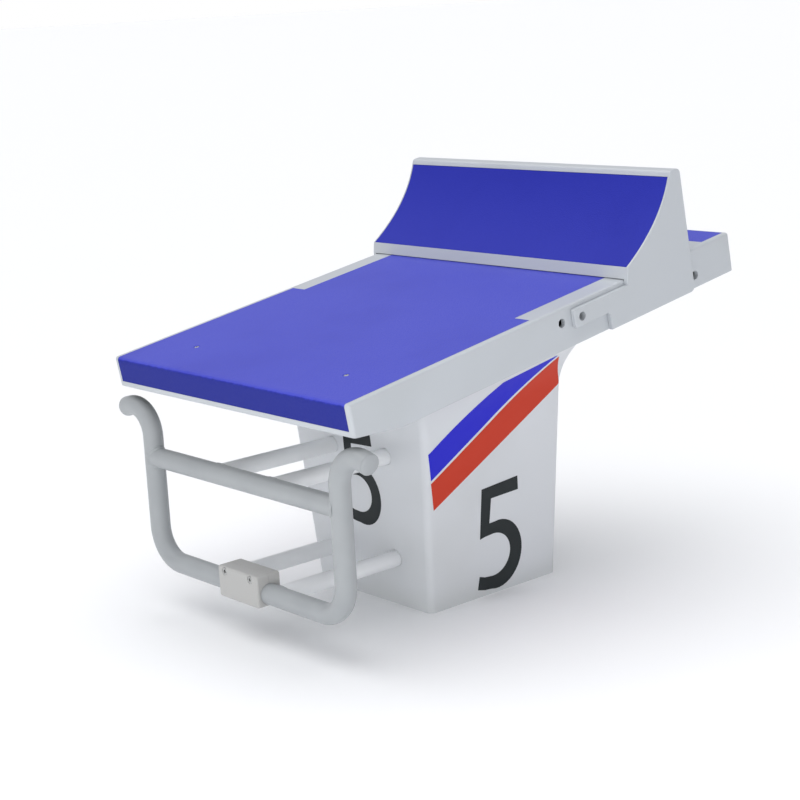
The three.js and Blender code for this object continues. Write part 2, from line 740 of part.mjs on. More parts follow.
// Side plate that hangs down outside the skirt, with the tongue that reaches forward over the index holes
function cheek(side) {
  const front = footrestFront - cheekFrontReach;
  const tongueFront = footrestFront - tongueReach;
  const join3 = footrestLipHeight / 2;
  const outline = [
    [tongueFront, -cheekTopDepth], [tongueFront, -tongueDepth],
    [front - cheekFrontSlant, -tongueDepth], [front, -cheekDepth],
    ...arc(footrestRear - cheekRearRadius, cheekRearRadius - cheekDepth, cheekRearRadius, -90, 0, cornerSteps),
    [footrestRear, join3], [footrestFront + footrestLipLean, join3], [footrestFront, footrestLift],
    [footrestFront, -cheekTopDepth],
  ];
  const plate = prismAcross(outline, cheekInside, cheekOutside);
  const lockHole = rodAcross(indexHoleDiameter / 2, deckHalf, cheekOutside + overrun, lockPlace, -indexDepth);
  const boltHoles = [guideFront, guideRear].map((place) => rodAcross(
    guideBoltDiameter / 2 + seatGap, deckHalf, cheekInside + guideBoltSeat + seatGap, place, -guideDepth));
  const right = cut(plate, lockHole, ...boltHoles);
  return side < 0 ? right.mirror([1, 0, 0]) : right;
}

function footrestShell() {
  const wedge = prismAcross(footrestOutline(), -cheekOutside, cheekOutside);
  const ledgeTop = footrestLift + glideThickness + footrestLedgeThickness;
  const hollow = footrestHollow(cheekInside, ledgeTop);
  const mouth = footrestHollow(cheekInside - footrestLedgeWidth, -overrun);
  const glides = [-1, 1].map((side) => block(
    side < 0 ? -cheekInside : cheekInside - footrestLedgeWidth,
    side < 0 ? footrestLedgeWidth - cheekInside : cheekInside,
    footrestFront + glideEndMargin - seatGap, footrestRear - glideEndMargin + seatGap,
    -overrun, seatGap * 2 + glideThickness));
  return join(cut(wedge, hollow, mouth, ...glides, footrestSheet(seatGap)), cheek(-1), cheek(1));
}

// Non-slip sheet on the curved face, or the recess that takes it when grown by a gap
function footrestSheet(grow) {
  const face = footrestCurve(grow > 0 ? -overrun : 0);
  const back = footrestCurve(footrestTreadThickness + grow);
  const lift = (points, first, last) => {
    const body = points.slice(0);
    body[0] = [body[0][0] + first, body[0][1] + first / 2];
    body[body.length - 1] = [body[body.length - 1][0] + last / 2, body[body.length - 1][1] + last];
    return body;
  };
  const trim = grow > 0 ? 0 : seatGap;
  const half = cheekOutside - footrestTreadMargin + grow;
  return prismAcross([...lift(face, trim, -trim), ...lift(back, trim, -trim).reverse()], -half, half);
}

function glideStrip(side) {
  const middle = side * (cheekInside - footrestLedgeWidth / 2);
  return block(middle - glideWidth / 2, middle + glideWidth / 2,
    footrestFront + glideEndMargin, footrestRear - glideEndMargin, seatGap, seatGap + glideThickness);
}

// Bar inside the skirt that carries the guide bolts and the lock
function slideBar(side) {
  const bar = block(slideBarInside, slideBarOutside, lockPlace - slideBarFrontMargin, guideRear + slideBarEndMargin,
    -slideBarBottomDepth, -slideBarTopDepth);
  const holes = [
    rodAcross(lockDiameter / 2 + seatGap, slideBarInside - overrun, deckHalf, lockPlace, -indexDepth),
    ...[guideFront, guideRear].map((place) => rodAcross(
      guideBoltDiameter / 2 + seatGap, slideBarInside - overrun, deckHalf, place, -guideDepth)),
  ];
  const right = cut(bar, ...holes);
  return side < 0 ? right.mirror([1, 0, 0]) : right;
}

function guideBolt(side, place) {
  const headFace = slideBarInside - seatGap;
  const right = join(
    rodAcross(guideBoltDiameter / 2, headFace - seatGap, cheekInside + guideBoltSeat, place, -guideDepth),
    rodAcross(guideBoltHeadDiameter / 2, headFace - guideBoltHeadHeight, headFace, place, -guideDepth, 6));
  return side < 0 ? right.mirror([1, 0, 0]) : right;
}

function lockHousing(side) {
  const face = slideBarInside - seatGap;
  const back = lockTip - lockLength - lockSpringRoom;
  const right = cut(
    rodAcross(lockHousingDiameter / 2, back - lockHousingEnd, face, lockPlace, -indexDepth),
    rodAcross(lockCollarDiameter / 2 + seatGap, back, face + overrun, lockPlace, -indexDepth));
  return side < 0 ? right.mirror([1, 0, 0]) : right;
}

// Button that springs out through an index hole into the tongue, drawn pressed in so that the footrest is free
function lockButton(side) {
  const back = lockTip - lockLength;
  const radius = lockDiameter / 2;
  const nose = new THREE.CylinderGeometry(radius, radius - lockNoseTaper, lockNoseTaper, boltSides)
    .rotateZ(quarterTurn).translate(lockTip - lockNoseTaper / 2, lockPlace, -indexDepth);
  const body = join(
    rodAcross(radius, back, lockTip - lockNoseTaper, lockPlace, -indexDepth),
    rodAcross(lockCollarDiameter / 2, back, back + lockCollarLength, lockPlace, -indexDepth),
    solidOf(nose));
  const right = cut(body, rodAcross(lockSpringDiameter / 2, back - overrun, back + lockSpringDepth,
    lockPlace, -indexDepth));
  return side < 0 ? right.mirror([1, 0, 0]) : right;
}

const sides = [['left', -1], ['right', 1]];
const startingBlock = new THREE.Group();
const deckGroup = new THREE.Group();
deckGroup.applyMatrix4(deckPlace);
startingBlock.add(deckGroup);

addPiece(startingBlock, 'pedestal_shell', pedestalShell(), gelcoat);
addPiece(startingBlock, 'base_plate', basePlate(), steel);
for (const [place, sideX, sideY] of anchorPlaces) {
  addPiece(startingBlock, `anchor_bolt_${place}`, anchorBolt(sideX, sideY), zinc);
  addPiece(startingBlock, `post_${place}`, post(sideX, sideY), steel);
}
addPiece(startingBlock, 'grip_tube', gripTube(), whiteTube);
addPiece(startingBlock, 'grip_crossbar', gripCrossbar(), whiteTube);
for (const [place, side, height] of supportPlaces) {
  addPiece(startingBlock, `grip_support_${place}`, gripSupport(side, height), whiteTube);
  addPiece(startingBlock, `support_bolt_${place}`, supportBolt(side, height), zinc);
}
addPiece(startingBlock, 'support_plate_upper', supportPlate(gripCrossbarHeight), steel);
addPiece(startingBlock, 'support_plate_lower', supportPlate(gripBarHeight), steel);
addPiece(startingBlock, 'clamp_block_front', clampHalf(-1), polymer);
addPiece(startingBlock, 'clamp_block_rear', clampHalf(1), polymer);

addPiece(deckGroup, 'deck_shell', deckShell(), gelcoat);
addPiece(deckGroup, 'deck_tread', deckTread(), nonSlip);
addPiece(deckGroup, 'cross_beam_front', crossBeam(-1), steel);
addPiece(deckGroup, 'cross_beam_rear', crossBeam(1), steel);
for (const [place, side, along] of deckScrewPlaces) {
  addPiece(deckGroup, `deck_screw_${place}`, deckScrew(side, along), zinc);
}
addPiece(deckGroup, 'footrest_shell', footrestShell(), gelcoat);
addPiece(deckGroup, 'footrest_tread', footrestSheet(0), nonSlip);
for (const [name, side] of sides) {
  addPiece(startingBlock, `grip_cap_${name}`, gripCap(side), polymer);
  addPiece(startingBlock, `clamp_screw_${name}`, clampScrew(side), zinc);
  addPiece(deckGroup, `bearer_${name}`, bearer(side), steel);
  addPiece(deckGroup, `glide_strip_${name}`, glideStrip(side), polymer);
  addPiece(deckGroup, `slide_bar_${name}`, slideBar(side), polymer);
  addPiece(deckGroup, `guide_bolt_front_${name}`, guideBolt(side, guideFront), zinc);
  addPiece(deckGroup, `guide_bolt_rear_${name}`, guideBolt(side, guideRear), zinc);
  addPiece(deckGroup, `lock_housing_${name}`, lockHousing(side), steel);
  addPiece(deckGroup, `lock_button_${name}`, lockButton(side), blackPolymer);
}

export default startingBlock;
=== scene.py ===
"""Dresses a swimming starting block for its render in Blender 4.5.

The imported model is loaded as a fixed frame. Each sub-assembly is a class that models its pieces in
millimetres with Blender's own tools, puts them in their place in metres and gives each its finish. Pieces of
the deck are modelled in the deck's slope: X across, Y back along the top face and Z square to it, from the
middle of the front top edge.
"""

import logging
import math
from contextlib import contextmanager
from dataclasses import dataclass
from enum import Enum
from typing import Callable, Iterator, Sequence

import bmesh
import bpy
from mathutils import Matrix, Vector

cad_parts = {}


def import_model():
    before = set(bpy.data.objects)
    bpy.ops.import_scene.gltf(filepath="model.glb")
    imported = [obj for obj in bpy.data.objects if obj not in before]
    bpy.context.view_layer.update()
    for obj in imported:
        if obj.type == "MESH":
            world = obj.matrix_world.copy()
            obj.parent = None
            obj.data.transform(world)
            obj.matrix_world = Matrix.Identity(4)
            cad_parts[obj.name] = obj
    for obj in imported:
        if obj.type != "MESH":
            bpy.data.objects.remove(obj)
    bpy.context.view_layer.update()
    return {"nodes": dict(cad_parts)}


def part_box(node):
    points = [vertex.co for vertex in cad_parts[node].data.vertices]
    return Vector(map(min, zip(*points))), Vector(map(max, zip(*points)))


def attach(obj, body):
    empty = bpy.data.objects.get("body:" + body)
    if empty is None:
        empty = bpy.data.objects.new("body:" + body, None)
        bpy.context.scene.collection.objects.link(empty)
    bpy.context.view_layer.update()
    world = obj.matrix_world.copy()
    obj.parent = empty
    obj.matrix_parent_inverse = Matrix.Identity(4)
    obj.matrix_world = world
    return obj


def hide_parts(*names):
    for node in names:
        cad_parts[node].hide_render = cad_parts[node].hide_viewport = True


LOG = logging.getLogger("starting_block")

Pair = tuple[float, float]
Point = tuple[float, float, float]
Colour = tuple[float, float, float, float]
Outline = Sequence[Pair]

MM = 0.001
FLOOR = Matrix.Scale(MM, 4)
DECK_SLOPE = math.radians(9.5)
DECK = Matrix.Translation((0.0, -0.379, 0.380)) @ Matrix.Rotation(DECK_SLOPE, 4, "X") @ FLOOR

# How far a cutting tool stands clear of what it cuts, in millimetres.
REACH = 30.0
# How close to a plane a point still counts as lying on it, in millimetres.
NEAR = 0.01
# The flats that stand for a round bar, for a hole in a moulding and for a hexagon socket.
ROUND = 48
HOLE = 40
HEXAGON = 6


class Side(Enum):
    """The two sides of the block, with the sign of X on each."""

    LEFT = -1
    RIGHT = 1

    @property
    def word(self) -> str:
        """The side's name as it ends the names of the nodes."""
        return self.name.lower()

    def span(self, near: float, far: float) -> Pair:
        """Gives the lower and the higher X of two distances out from the middle."""
        return tuple(sorted((self.value * near, self.value * far)))


class Axis(Enum):
    """The way that a rod or a ring points, with the turn that lays a Blender primitive along it."""

    ACROSS = (0.0, math.pi / 2, 0.0)
    BACK = (math.pi / 2, 0.0, 0.0)
    UP = (0.0, 0.0, 0.0)


class Pick(Enum):
    """What an edit-mode selection is made of."""

    VERTS = "VERT"
    EDGES = "EDGE"
    FACES = "FACE"


# Tools of the bench


def take(*pieces: bpy.types.Object) -> None:
    """Selects only these objects and makes the first of them active.

    Args:
        pieces: The objects.
    """
    if bpy.context.object is not None and bpy.context.object.mode != "OBJECT":
        bpy.ops.object.mode_set(mode="OBJECT")
    bpy.ops.object.select_all(action="DESELECT")
    for piece in pieces:
        piece.select_set(True)
    bpy.context.view_layer.objects.active = pieces[0]


@contextmanager
def editing(piece: bpy.types.Object) -> Iterator[None]:
    """Opens a piece in edit mode for the lines inside it.

    Args:
        piece: The mesh object to open.
    """
    take(piece)
    bpy.ops.object.mode_set(mode="EDIT")
    yield
    bpy.ops.object.mode_set(mode="OBJECT")


def pick(piece: bpy.types.Object, kind: Pick, wanted: Callable[[object], bool]) -> None:
    """Selects the parts of a piece in edit mode that pass a test.

    Args:
        piece: The mesh object that is open in edit mode.
        kind: Whether vertices, edges or faces are picked.
        wanted: The test, given one vertex, edge or face.
    """
    bpy.ops.mesh.select_mode(type=kind.value)
    bpy.ops.mesh.select_all(action="DESELECT")
    mesh = bmesh.from_edit_mesh(piece.data)
    parts = {Pick.VERTS: mesh.verts, Pick.EDGES: mesh.edges, Pick.FACES: mesh.faces}[kind]
    for part in parts:
        if wanted(part):
            part.select_set(True)
    mesh.select_flush_mode()
    bmesh.update_edit_mesh(piece.data)


def both_ends(edge: bmesh.types.BMEdge, test: Callable[[Vector], bool]) -> bool:
    """Tells whether both ends of an edge pass a test of their place."""
    return all(test(vert.co) for vert in edge.verts)


def round_picked(piece: bpy.types.Object, radius: float, segments: int,
                 wanted: Callable[[object], bool]) -> None:
    """Rounds those edges of a piece in edit mode that pass a test."""
    pick(piece, Pick.EDGES, wanted)
    bpy.ops.mesh.bevel(offset=radius, segments=segments, affect="EDGES")


def score(place: Point, facing: Point) -> None:
    """Scores new edges into the whole piece in edit mode, along a plane."""
    bpy.ops.mesh.select_all(action="SELECT")
    bpy.ops.mesh.bisect(plane_co=place, plane_no=facing)


def dome(piece: bpy.types.Object, steps: Outline) -> None:
    """Rounds the top of an upright rod over, one inset after the other.

    Args:
        piece: The rod.
        steps: How far in and how far up each inset goes, from the rim.
    """
    with editing(piece):
        pick(piece, Pick.FACES, lambda face: face.normal.z > 0.9)
        for width, rise in steps:
            bpy.ops.mesh.inset(thickness=width, depth=rise)


def name_both(piece: bpy.types.Object, name: str) -> None:
    """Gives an object and its mesh the same name."""
    piece.name = name
    piece.data.name = name


def name_new(name: str) -> bpy.types.Object:
    """Names the primitive just added, and moves its place and size into its mesh.

    Args:
        name: The piece's name.

    Returns:
        The piece.
    """
    piece = bpy.context.object
    name_both(piece, name)
    take(piece)
    bpy.ops.object.transform_apply(location=True, rotation=True, scale=True)
    return piece


def start_box(name: str, low: Point, high: Point) -> bpy.types.Object:
    """Adds a box between two corners.

    Args:
        name: The piece's name.
        low: Its lowest corner, in millimetres.
        high: Its highest corner, in millimetres.

    Returns:
        The new mesh object.
    """
    centre = [(a + b) / 2 for a, b in zip(low, high)]
    size = [b - a for a, b in zip(low, high)]
    bpy.ops.mesh.primitive_cube_add(size=1, location=centre)
    bpy.context.object.scale = size
    return name_new(name)


def start_rod(name: str, radius: float, axis: Axis, centre: Point, length: float,
              sides: int = ROUND) -> bpy.types.Object:
    """Adds a round bar.

    Args:
        name: The piece's name.
        radius: Its radius, in millimetres.
        axis: The way it points.
        centre: Its middle.
        length: Its length.
        sides: How many flats stand for its round.

    Returns:
        The new mesh object.
    """
    bpy.ops.mesh.primitive_cylinder_add(vertices=sides, radius=radius, depth=length, location=centre,
                                        rotation=axis.value)
    return name_new(name)


def stand_rod(name: str, radius: float, span: Pair, x: float = 0.0, y: float = 0.0,
              sides: int = ROUND) -> bpy.types.Object:
    """Adds an upright round bar between two heights."""
    return start_rod(name, radius, Axis.UP, (x, y, sum(span) / 2), span[1] - span[0], sides)


def start_profile(name: str, outline: Outline, low: float, high: float) -> bpy.types.Object:
    """Adds a filled circle, lays its points on an outline and draws it out across the block.

    Args:
        name: The piece's name.
        outline: Its points as (back, up), in millimetres, in order.
        low: The X where it starts.
        high: The X where it ends.

    Returns:
        The new closed mesh object.
    """
    bpy.ops.mesh.primitive_circle_add(vertices=len(outline), fill_type="NGON")
    piece = name_new(name)
    for vert, (back, up) in zip(piece.data.vertices, outline):
        vert.co = (low, back, up)
    with editing(piece):
        bpy.ops.mesh.select_all(action="SELECT")
        bpy.ops.mesh.extrude_region_move(TRANSFORM_OT_translate={"value": (high - low, 0, 0)})
        bpy.ops.mesh.select_all(action="SELECT")
        bpy.ops.mesh.normals_make_consistent(inside=False)
    return piece


def arc(centre: Pair, radii: Pair, start: float, end: float, steps: int) -> list[Pair]:
    """Draws a part of an ellipse.

    Args:
        centre: Its middle.
        radii: Its two radii.
        start: The angle where it starts, in degrees.
        end: The angle where it ends.
        steps: How many flats stand for it.

    Returns:
        Its points in order, both ends included.
    """
    angles = [math.radians(start + (end - start) * step / steps) for step in range(steps + 1)]
    return [(centre[0] + radii[0] * math.cos(angle), centre[1] + radii[1] * math.sin(angle))
            for angle in angles]


def apply(piece: bpy.types.Object, kind: str, **settings: object) -> None:
    """Adds a modifier and applies it.

    Args:
        piece: The mesh object.
        kind: The modifier's type.
        settings: The modifier's own properties.
    """
    take(piece)
    modifier = piece.modifiers.new(kind.title(), kind)
    for key, value in settings.items():
        setattr(modifier, key, value)
    bpy.ops.object.modifier_apply(modifier=modifier.name)


def combine(piece: bpy.types.Object, operation: str, *tools: bpy.types.Object) -> bpy.types.Object:
    """Cuts, joins or trims a piece with others, which are used up.

    Args:
        piece: The mesh object that stays.
        operation: DIFFERENCE, UNION or INTERSECT.
        tools: The mesh objects that shape it.

    Returns:
        The piece.
    """
    for tool in tools:
        apply(piece, "BOOLEAN", operation=operation, object=tool, solver="EXACT")
        bpy.data.objects.remove(tool)
    return piece


def round_edges(piece: bpy.types.Object, width: float, degrees: float = 50) -> None:
    """Rounds every edge that is sharper than an angle."""
    apply(piece, "BEVEL", width=width, segments=2, limit_method="ANGLE", angle_limit=math.radians(degrees),
          use_clamp_overlap=True)


def copy_of(piece: bpy.types.Object, name: str, move: Matrix = Matrix.Identity(4)) -> bpy.types.Object:
    """Copies a piece with a mesh of its own.

    Args:
        piece: The mesh object to copy.
        name: The copy's name.
        move: Where it goes from there. A mirror turns its faces back outwards.

    Returns:
        The copy.
    """
    other = piece.copy()
    other.data = piece.data.copy()
    name_both(other, name)
    bpy.context.scene.collection.objects.link(other)
    other.data.transform(move)
    if move.determinant() < 0:
        other.data.flip_normals()
    return other


def copy_to_side(piece: bpy.types.Object, name: str, side: Side) -> bpy.types.Object:
    """Copies a piece of the right side to one of the sides."""
    return copy_of(piece, name, Matrix.Diagonal((side.value, 1, 1, 1)))


@dataclass(frozen=True)
class Seat:
    """How a finished piece is carried and what it stands for.

    Attributes:
        body: The moving body that it rides on.
        slot: The name of the material slot that it stands in. It is not used.
        place: The frame that it was modelled in.
        replaces: The CAD nodes that it stands for.
        degrees: The sharpest angle that is still shaded smooth.
    """

    body: str
    slot: str
    place: Matrix
    replaces: tuple[str, ...] = ()
    degrees: float = 35


def seat(piece: bpy.types.Object, material: bpy.types.Material, where: Seat) -> bpy.types.Object:
    """Puts a modelled piece in its place, dresses it and lets it ride.

    Args:
        piece: The mesh object, modelled in millimetres.
        material: Its finish.
        where: Its body, slot, frame and the nodes that it stands for.

    Returns:
        The piece.
    """
    piece.data.transform(where.place)
    piece.data.materials.clear()
    piece.data.materials.append(material)
    take(piece)
    bpy.ops.object.shade_smooth_by_angle(angle=math.radians(where.degrees))
    apply(piece, "WEIGHTED_NORMAL", keep_sharp=True)
    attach(piece, where.body)
    if where.replaces:
        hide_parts(*where.replaces)
    LOG.info("made %s, %d faces", piece.name, len(piece.data.polygons))
    return piece


def dress_part(piece: bpy.types.Object, material: bpy.types.Material, place: Matrix, low: Point,
               high: Point) -> None:
    """Gives a second finish to the faces whose centres lie between two corners.

    Args:
        piece: The seated piece.
        material: The finish of those faces.
        place: The frame that the piece was modelled in.
        low: The lowest corner, in millimetres of that frame.
        high: The highest corner.
    """
    piece.data.materials.append(material)
    back = place.inverted()
    for face in piece.data.polygons:
        if all(a < value < b for a, value, b in zip(low, back @ face.center, high)):
            face.material_index = 1


# Finishes


# The numbers of a Mix node's sockets for its two colours and the mixed one, whose names other kinds share.
FIRST, SECOND, MIXED = 6, 7, 2


def linear(colour: str) -> Colour:
    """Turns an sRGB colour into Blender's linear one.

    Args:
        colour: The colour, such as #e8eaec.

    Returns:
        Its red, green, blue and alpha.
    """
    def channel(value: float) -> float:
        """Turns one channel from 0 to 1."""
        return value / 12.92 if value <= 0.04045 else ((value + 0.055) / 1.055) ** 2.4

    parts = [int(colour[place:place + 2], 16) / 255 for place in (1, 3, 5)]
    return (*[channel(part) for part in parts], 1.0)


def add_node(tree: bpy.types.NodeTree, kind: str, inputs: dict[str | int, object] | None = None,
             stops: Sequence[tuple[float, Colour]] = (), **settings: object) -> bpy.types.Node:
    """Adds a shader node with its settings and links.

    Args:
        tree: The node tree of the material or the world.
        kind: The node's type.
        inputs: For each input by name or number, a value or the output that feeds it.
        stops: The place and linear colour of each stop, for a colour ramp.
        settings: The node's own properties.

    Returns:
        The node.
    """
    node = tree.nodes.new(kind)
    for key, value in settings.items():
        setattr(node, key, value)
    for key, value in (inputs or {}).items():
        if isinstance(value, bpy.types.NodeSocket):
            tree.links.new(value, node.inputs[key])
        else:
            node.inputs[key].default_value = value
    if stops:
        for element, (position, colour) in zip(node.color_ramp.elements, stops):
            element.position = position
            element.color = colour
    return node


def per_metre(millimetres: float) -> float:
    """Gives the texture scale whose features are about this many millimetres wide."""
    return 1.0 / (millimetres * MM)


def new_material(name: str) -> tuple[bpy.types.Material, bpy.types.NodeTree, bpy.types.NodeSocket]:
    """Starts a material.

    Args:
        name: What the finish is.

    Returns:
        The material, its empty node tree and its Object coordinates.
    """
    material = bpy.data.materials.new(name)
    material.use_nodes = True
    tree = material.node_tree
    tree.nodes.clear()
    place = add_node(tree, "ShaderNodeTexCoord").outputs["Object"]
    return material, tree, place


def close_material(tree: bpy.types.NodeTree, surface: dict[str, object]) -> None:
    """Ends a material with its surface shader and output."""
    shader = add_node(tree, "ShaderNodeBsdfPrincipled", surface)
    add_node(tree, "ShaderNodeOutputMaterial", {"Surface": shader.outputs["BSDF"]})


@dataclass(frozen=True)
class Gelcoat:
    """White gelcoat on hand-laid glass fibre.

    It is sprayed into a polished mould, so it is glossy, with a slow waviness and a faint orange peel. It is
    tinted and duller in patches where feet and hands rub it, and near the floor, where it is splashed.

    Attributes:
        name: What the finish is.
        colour: The clean white.
        worn: The tint of rubbed and splashed places.
        roughness: The clean surface's roughness.
        dulling: How much rougher it is where it is fully worn.
        wear: How far rubbing or splashing alone wears it, as a share.
        rubbed: The two values of its clouds between which a rubbed patch sets in.
        wave: The width of the mould's slow waves, in millimetres.
        wave_depth: Their depth, in millimetres.
        peel: The width of the orange peel, in millimetres.
        peel_depth: Its depth, in millimetres.
        splash: The height above the floor up to which it is splashed, in millimetres.
    """

    name: str
    colour: str
    worn: str
    roughness: float = 0.30
    dulling: float = 0.15
    wear: float = 0.5
    rubbed: Pair = (0.4, 0.8)
    wave: float = 90.0
    wave_depth: float = 1.2
    peel: float = 5.0
    peel_depth: float = 0.4
    splash: float = 45.0

    def material(self) -> bpy.types.Material:
        """Builds the node material.

        Returns:
            The material.
        """
        material, tree, place = new_material(self.name)
        height = add_node(tree, "ShaderNodeSeparateXYZ", {"Vector": place}).outputs["Z"]
        splashed = add_node(tree, "ShaderNodeMapRange",
                            {"Value": height, "From Min": self.splash * MM, "From Max": 0.0,
                             "To Max": self.wear}, interpolation_type="SMOOTHSTEP").outputs["Result"]
        cloud = add_node(tree, "ShaderNodeTexNoise",
                         {"Vector": place, "Scale": per_metre(self.wave * 2)}).outputs["Fac"]
        rubbed = add_node(tree, "ShaderNodeMapRange",
                          {"Value": cloud, "From Min": self.rubbed[0], "From Max": self.rubbed[1],
                           "To Max": self.wear}, interpolation_type="SMOOTHSTEP").outputs["Result"]
        worn = add_node(tree, "ShaderNodeMath", {0: splashed, 1: rubbed}, operation="ADD").outputs[0]
        colour = add_node(tree, "ShaderNodeMix",
                          {"Factor": worn, FIRST: linear(self.colour), SECOND: linear(self.worn)},
                          data_type="RGBA").outputs[MIXED]
        dull = add_node(tree, "ShaderNodeMapRange",
                        {"Value": worn, "To Min": self.roughness,
                         "To Max": self.roughness + self.dulling}).outputs["Result"]
        peel = add_node(tree, "ShaderNodeTexNoise",
                        {"Vector": place, "Scale": per_metre(self.peel)}).outputs["Fac"]
        fine = add_node(tree, "ShaderNodeBump",
                        {"Height": peel, "Strength": 0.10,
                         "Distance": self.peel_depth * MM}).outputs["Normal"]
        wave = add_node(tree, "ShaderNodeTexNoise",
                        {"Vector": place, "Scale": per_metre(self.wave), "Detail": 1.0}).outputs["Fac"]
        bump = add_node(tree, "ShaderNodeBump",
                        {"Height": wave, "Strength": 0.25, "Distance": self.wave_depth * MM,
                         "Filter Width": 1.0, "Normal": fine}).outputs["Normal"]
        close_material(tree, {"Base Color": colour, "Roughness": dull, "IOR": 1.53, "Normal": bump})
        return material


@dataclass(frozen=True)
class NonSlipSheet:
    """Blue rubber sheet with a rolled-in grit.

    The grit breaks up the light into fine speckles. The sheet is a little paler and duller where it is walked
    on. Below a set height, up to a ragged edge, it takes a darker blue: painted shade on the face that hangs
    below the deck's top.

    Attributes:
        name: What the finish is.
        colour: The sheet's blue.
        walked: The paler blue where it is walked on.
        grit: The width of a grain, in millimetres, drawn twice as coarse as the real one so that it shows.
        roughness: The roughness between the grains.
        dust: How much fine dust and wear makes it pale at a flat angle.
        shine: The strength of its mirror-like part, 0.5 for a smooth surface.
        painted_shade_colour: The darker blue below that height, painted shade on what hangs.
        dulling: How much rougher the grains are.
        grit_depth: The height of a grain, in millimetres.
        patch: The width of the walked patches, in millimetres.
        painted_shade_top: The height above the floor at which the painted shade ends, in millimetres.
        fade: The height over which it ends, in millimetres.
        ragged: The width of its edge's waves, in millimetres.
        wander: How far up and down they go, in millimetres.
    """

    name: str = "blue non-slip rubber"
    colour: str = "#2f38b8"
    walked: str = "#3841c0"
    grit: float = 2.2
    roughness: float = 0.52
    dust: float = 0.1
    shine: float = 0.35
    # The darker blue of what hangs below the deck's top is painted shade.
    painted_shade_colour: str = "#232c8c"
    dulling: float = 0.16
    grit_depth: float = 0.5
    patch: float = 160.0
    painted_shade_top: float = 378.0
    fade: float = 2.5
    ragged: float = 9.0
    wander: float = 5.0

    def material(self) -> bpy.types.Material:
        """Builds the node material.

        Returns:
            The material.
        """
        material, tree, place = new_material(self.name)
        patch = add_node(tree, "ShaderNodeTexNoise",
                         {"Vector": place, "Scale": per_metre(self.patch), "Detail": 4.0}).outputs["Fac"]
        speck = add_node(tree, "ShaderNodeTexNoise",
                         {"Vector": place, "Scale": per_metre(self.grit * 0.8), "Detail": 3.0}).outputs["Fac"]
        mottle = add_node(tree, "ShaderNodeMath", {0: patch, 1: speck}, operation="ADD").outputs[0]
        tint = add_node(tree, "ShaderNodeValToRGB", {"Fac": mottle},
                        ((0.75, linear(self.colour)), (1.0, linear(self.walked)))).outputs["Color"]
        # Below a ragged height the blue turns to the darker one: painted shade on the face that hangs.
        height = add_node(tree, "ShaderNodeSeparateXYZ", {"Vector": place}).outputs["Z"]
        ragged = add_node(tree, "ShaderNodeTexNoise",
                          {"Vector": place, "Scale": per_metre(self.ragged), "Detail": 3.0}).outputs["Fac"]
        edge = add_node(tree, "ShaderNodeMath", {0: ragged, 1: self.wander * MM, 2: height},
                        operation="MULTIPLY_ADD").outputs[0]
        top = add_node(tree, "ShaderNodeMapRange",
                       {"Value": edge, "From Min": self.painted_shade_top * MM,
                        "From Max": (self.painted_shade_top + self.fade) * MM}).outputs["Result"]
        colour = add_node(tree, "ShaderNodeMix", {"Factor": top, FIRST: linear(self.painted_shade_colour), SECOND: tint},
                          data_type="RGBA").outputs[MIXED]
        dull = add_node(tree, "ShaderNodeMapRange",
                        {"Value": speck, "From Min": 0.3, "From Max": 0.7, "To Min": self.roughness,
                         "To Max": self.roughness + self.dulling}).outputs["Result"]
        grain = add_node(tree, "ShaderNodeTexVoronoi", {"Vector": place, "Scale": per_metre(self.grit)},
                         feature="SMOOTH_F1").outputs["Distance"]
        bump = add_node(tree, "ShaderNodeBump",
                        {"Height": grain, "Strength": 0.5,
                         "Distance": self.grit_depth * MM}).outputs["Normal"]
        close_material(tree, {"Base Color": colour, "Roughness": dull, "Sheen Weight": self.dust,
                              "Specular IOR Level": self.shine, "IOR": 1.52, "Normal": bump})
        return material


@dataclass(frozen=True)
class CoatedSteel:
    """Steel under a coat or a zinc layer, or bare.

    A powder coat melts into a fine orange peel and is satin. Zinc from the hot bath is dull grey, in patches
    of crystals. Stainless steel keeps the drawing marks of the bar.

    Attributes:
        name: What the finish is.
        colour: Its main colour.
        other: The colour of its patches.
        metallic: One for bare metal and zero for a coat.
        roughness: Its mean roughness.
        patch: The width of its patches, in millimetres.
        peel: The width of its fine relief, in millimetres.
        relief: The height of its fine relief, in millimetres.
        swing: How much smoother and rougher it is from patch to patch.
    """

    name: str
    colour: str
    other: str
    metallic: float
    roughness: float
    patch: float
    peel: float
    relief: float
    swing: Pair = (-0.06, 0.08)

    def material(self) -> bpy.types.Material:
        """Builds the node material.

        Returns:
            The material.
        """
        material, tree, place = new_material(self.name)
        pattern = add_node(tree, "ShaderNodeTexVoronoi" if self.metallic else "ShaderNodeTexNoise",
                           {"Vector": place, "Scale": per_metre(self.patch)})
        patch = pattern.outputs["Distance" if self.metallic else "Fac"]
        tint = add_node(tree, "ShaderNodeValToRGB", {"Fac": patch},
                        ((0.25, linear(self.colour)), (0.75, linear(self.other)))).outputs["Color"]
        dull = add_node(tree, "ShaderNodeMapRange",
                        {"Value": patch, "To Min": self.roughness + self.swing[0],
                         "To Max": self.roughness + self.swing[1]}).outputs["Result"]
        peel = add_node(tree, "ShaderNodeTexNoise",
                        {"Vector": place, "Scale": per_metre(self.peel)}).outputs["Fac"]
        bump = add_node(tree, "ShaderNodeBump",
                        {"Height": peel, "Strength": 0.3, "Distance": self.relief * MM}).outputs["Normal"]
        close_material(tree, {"Base Color": tint, "Metallic": self.metallic, "Roughness": dull,
                              "Normal": bump})
        return material


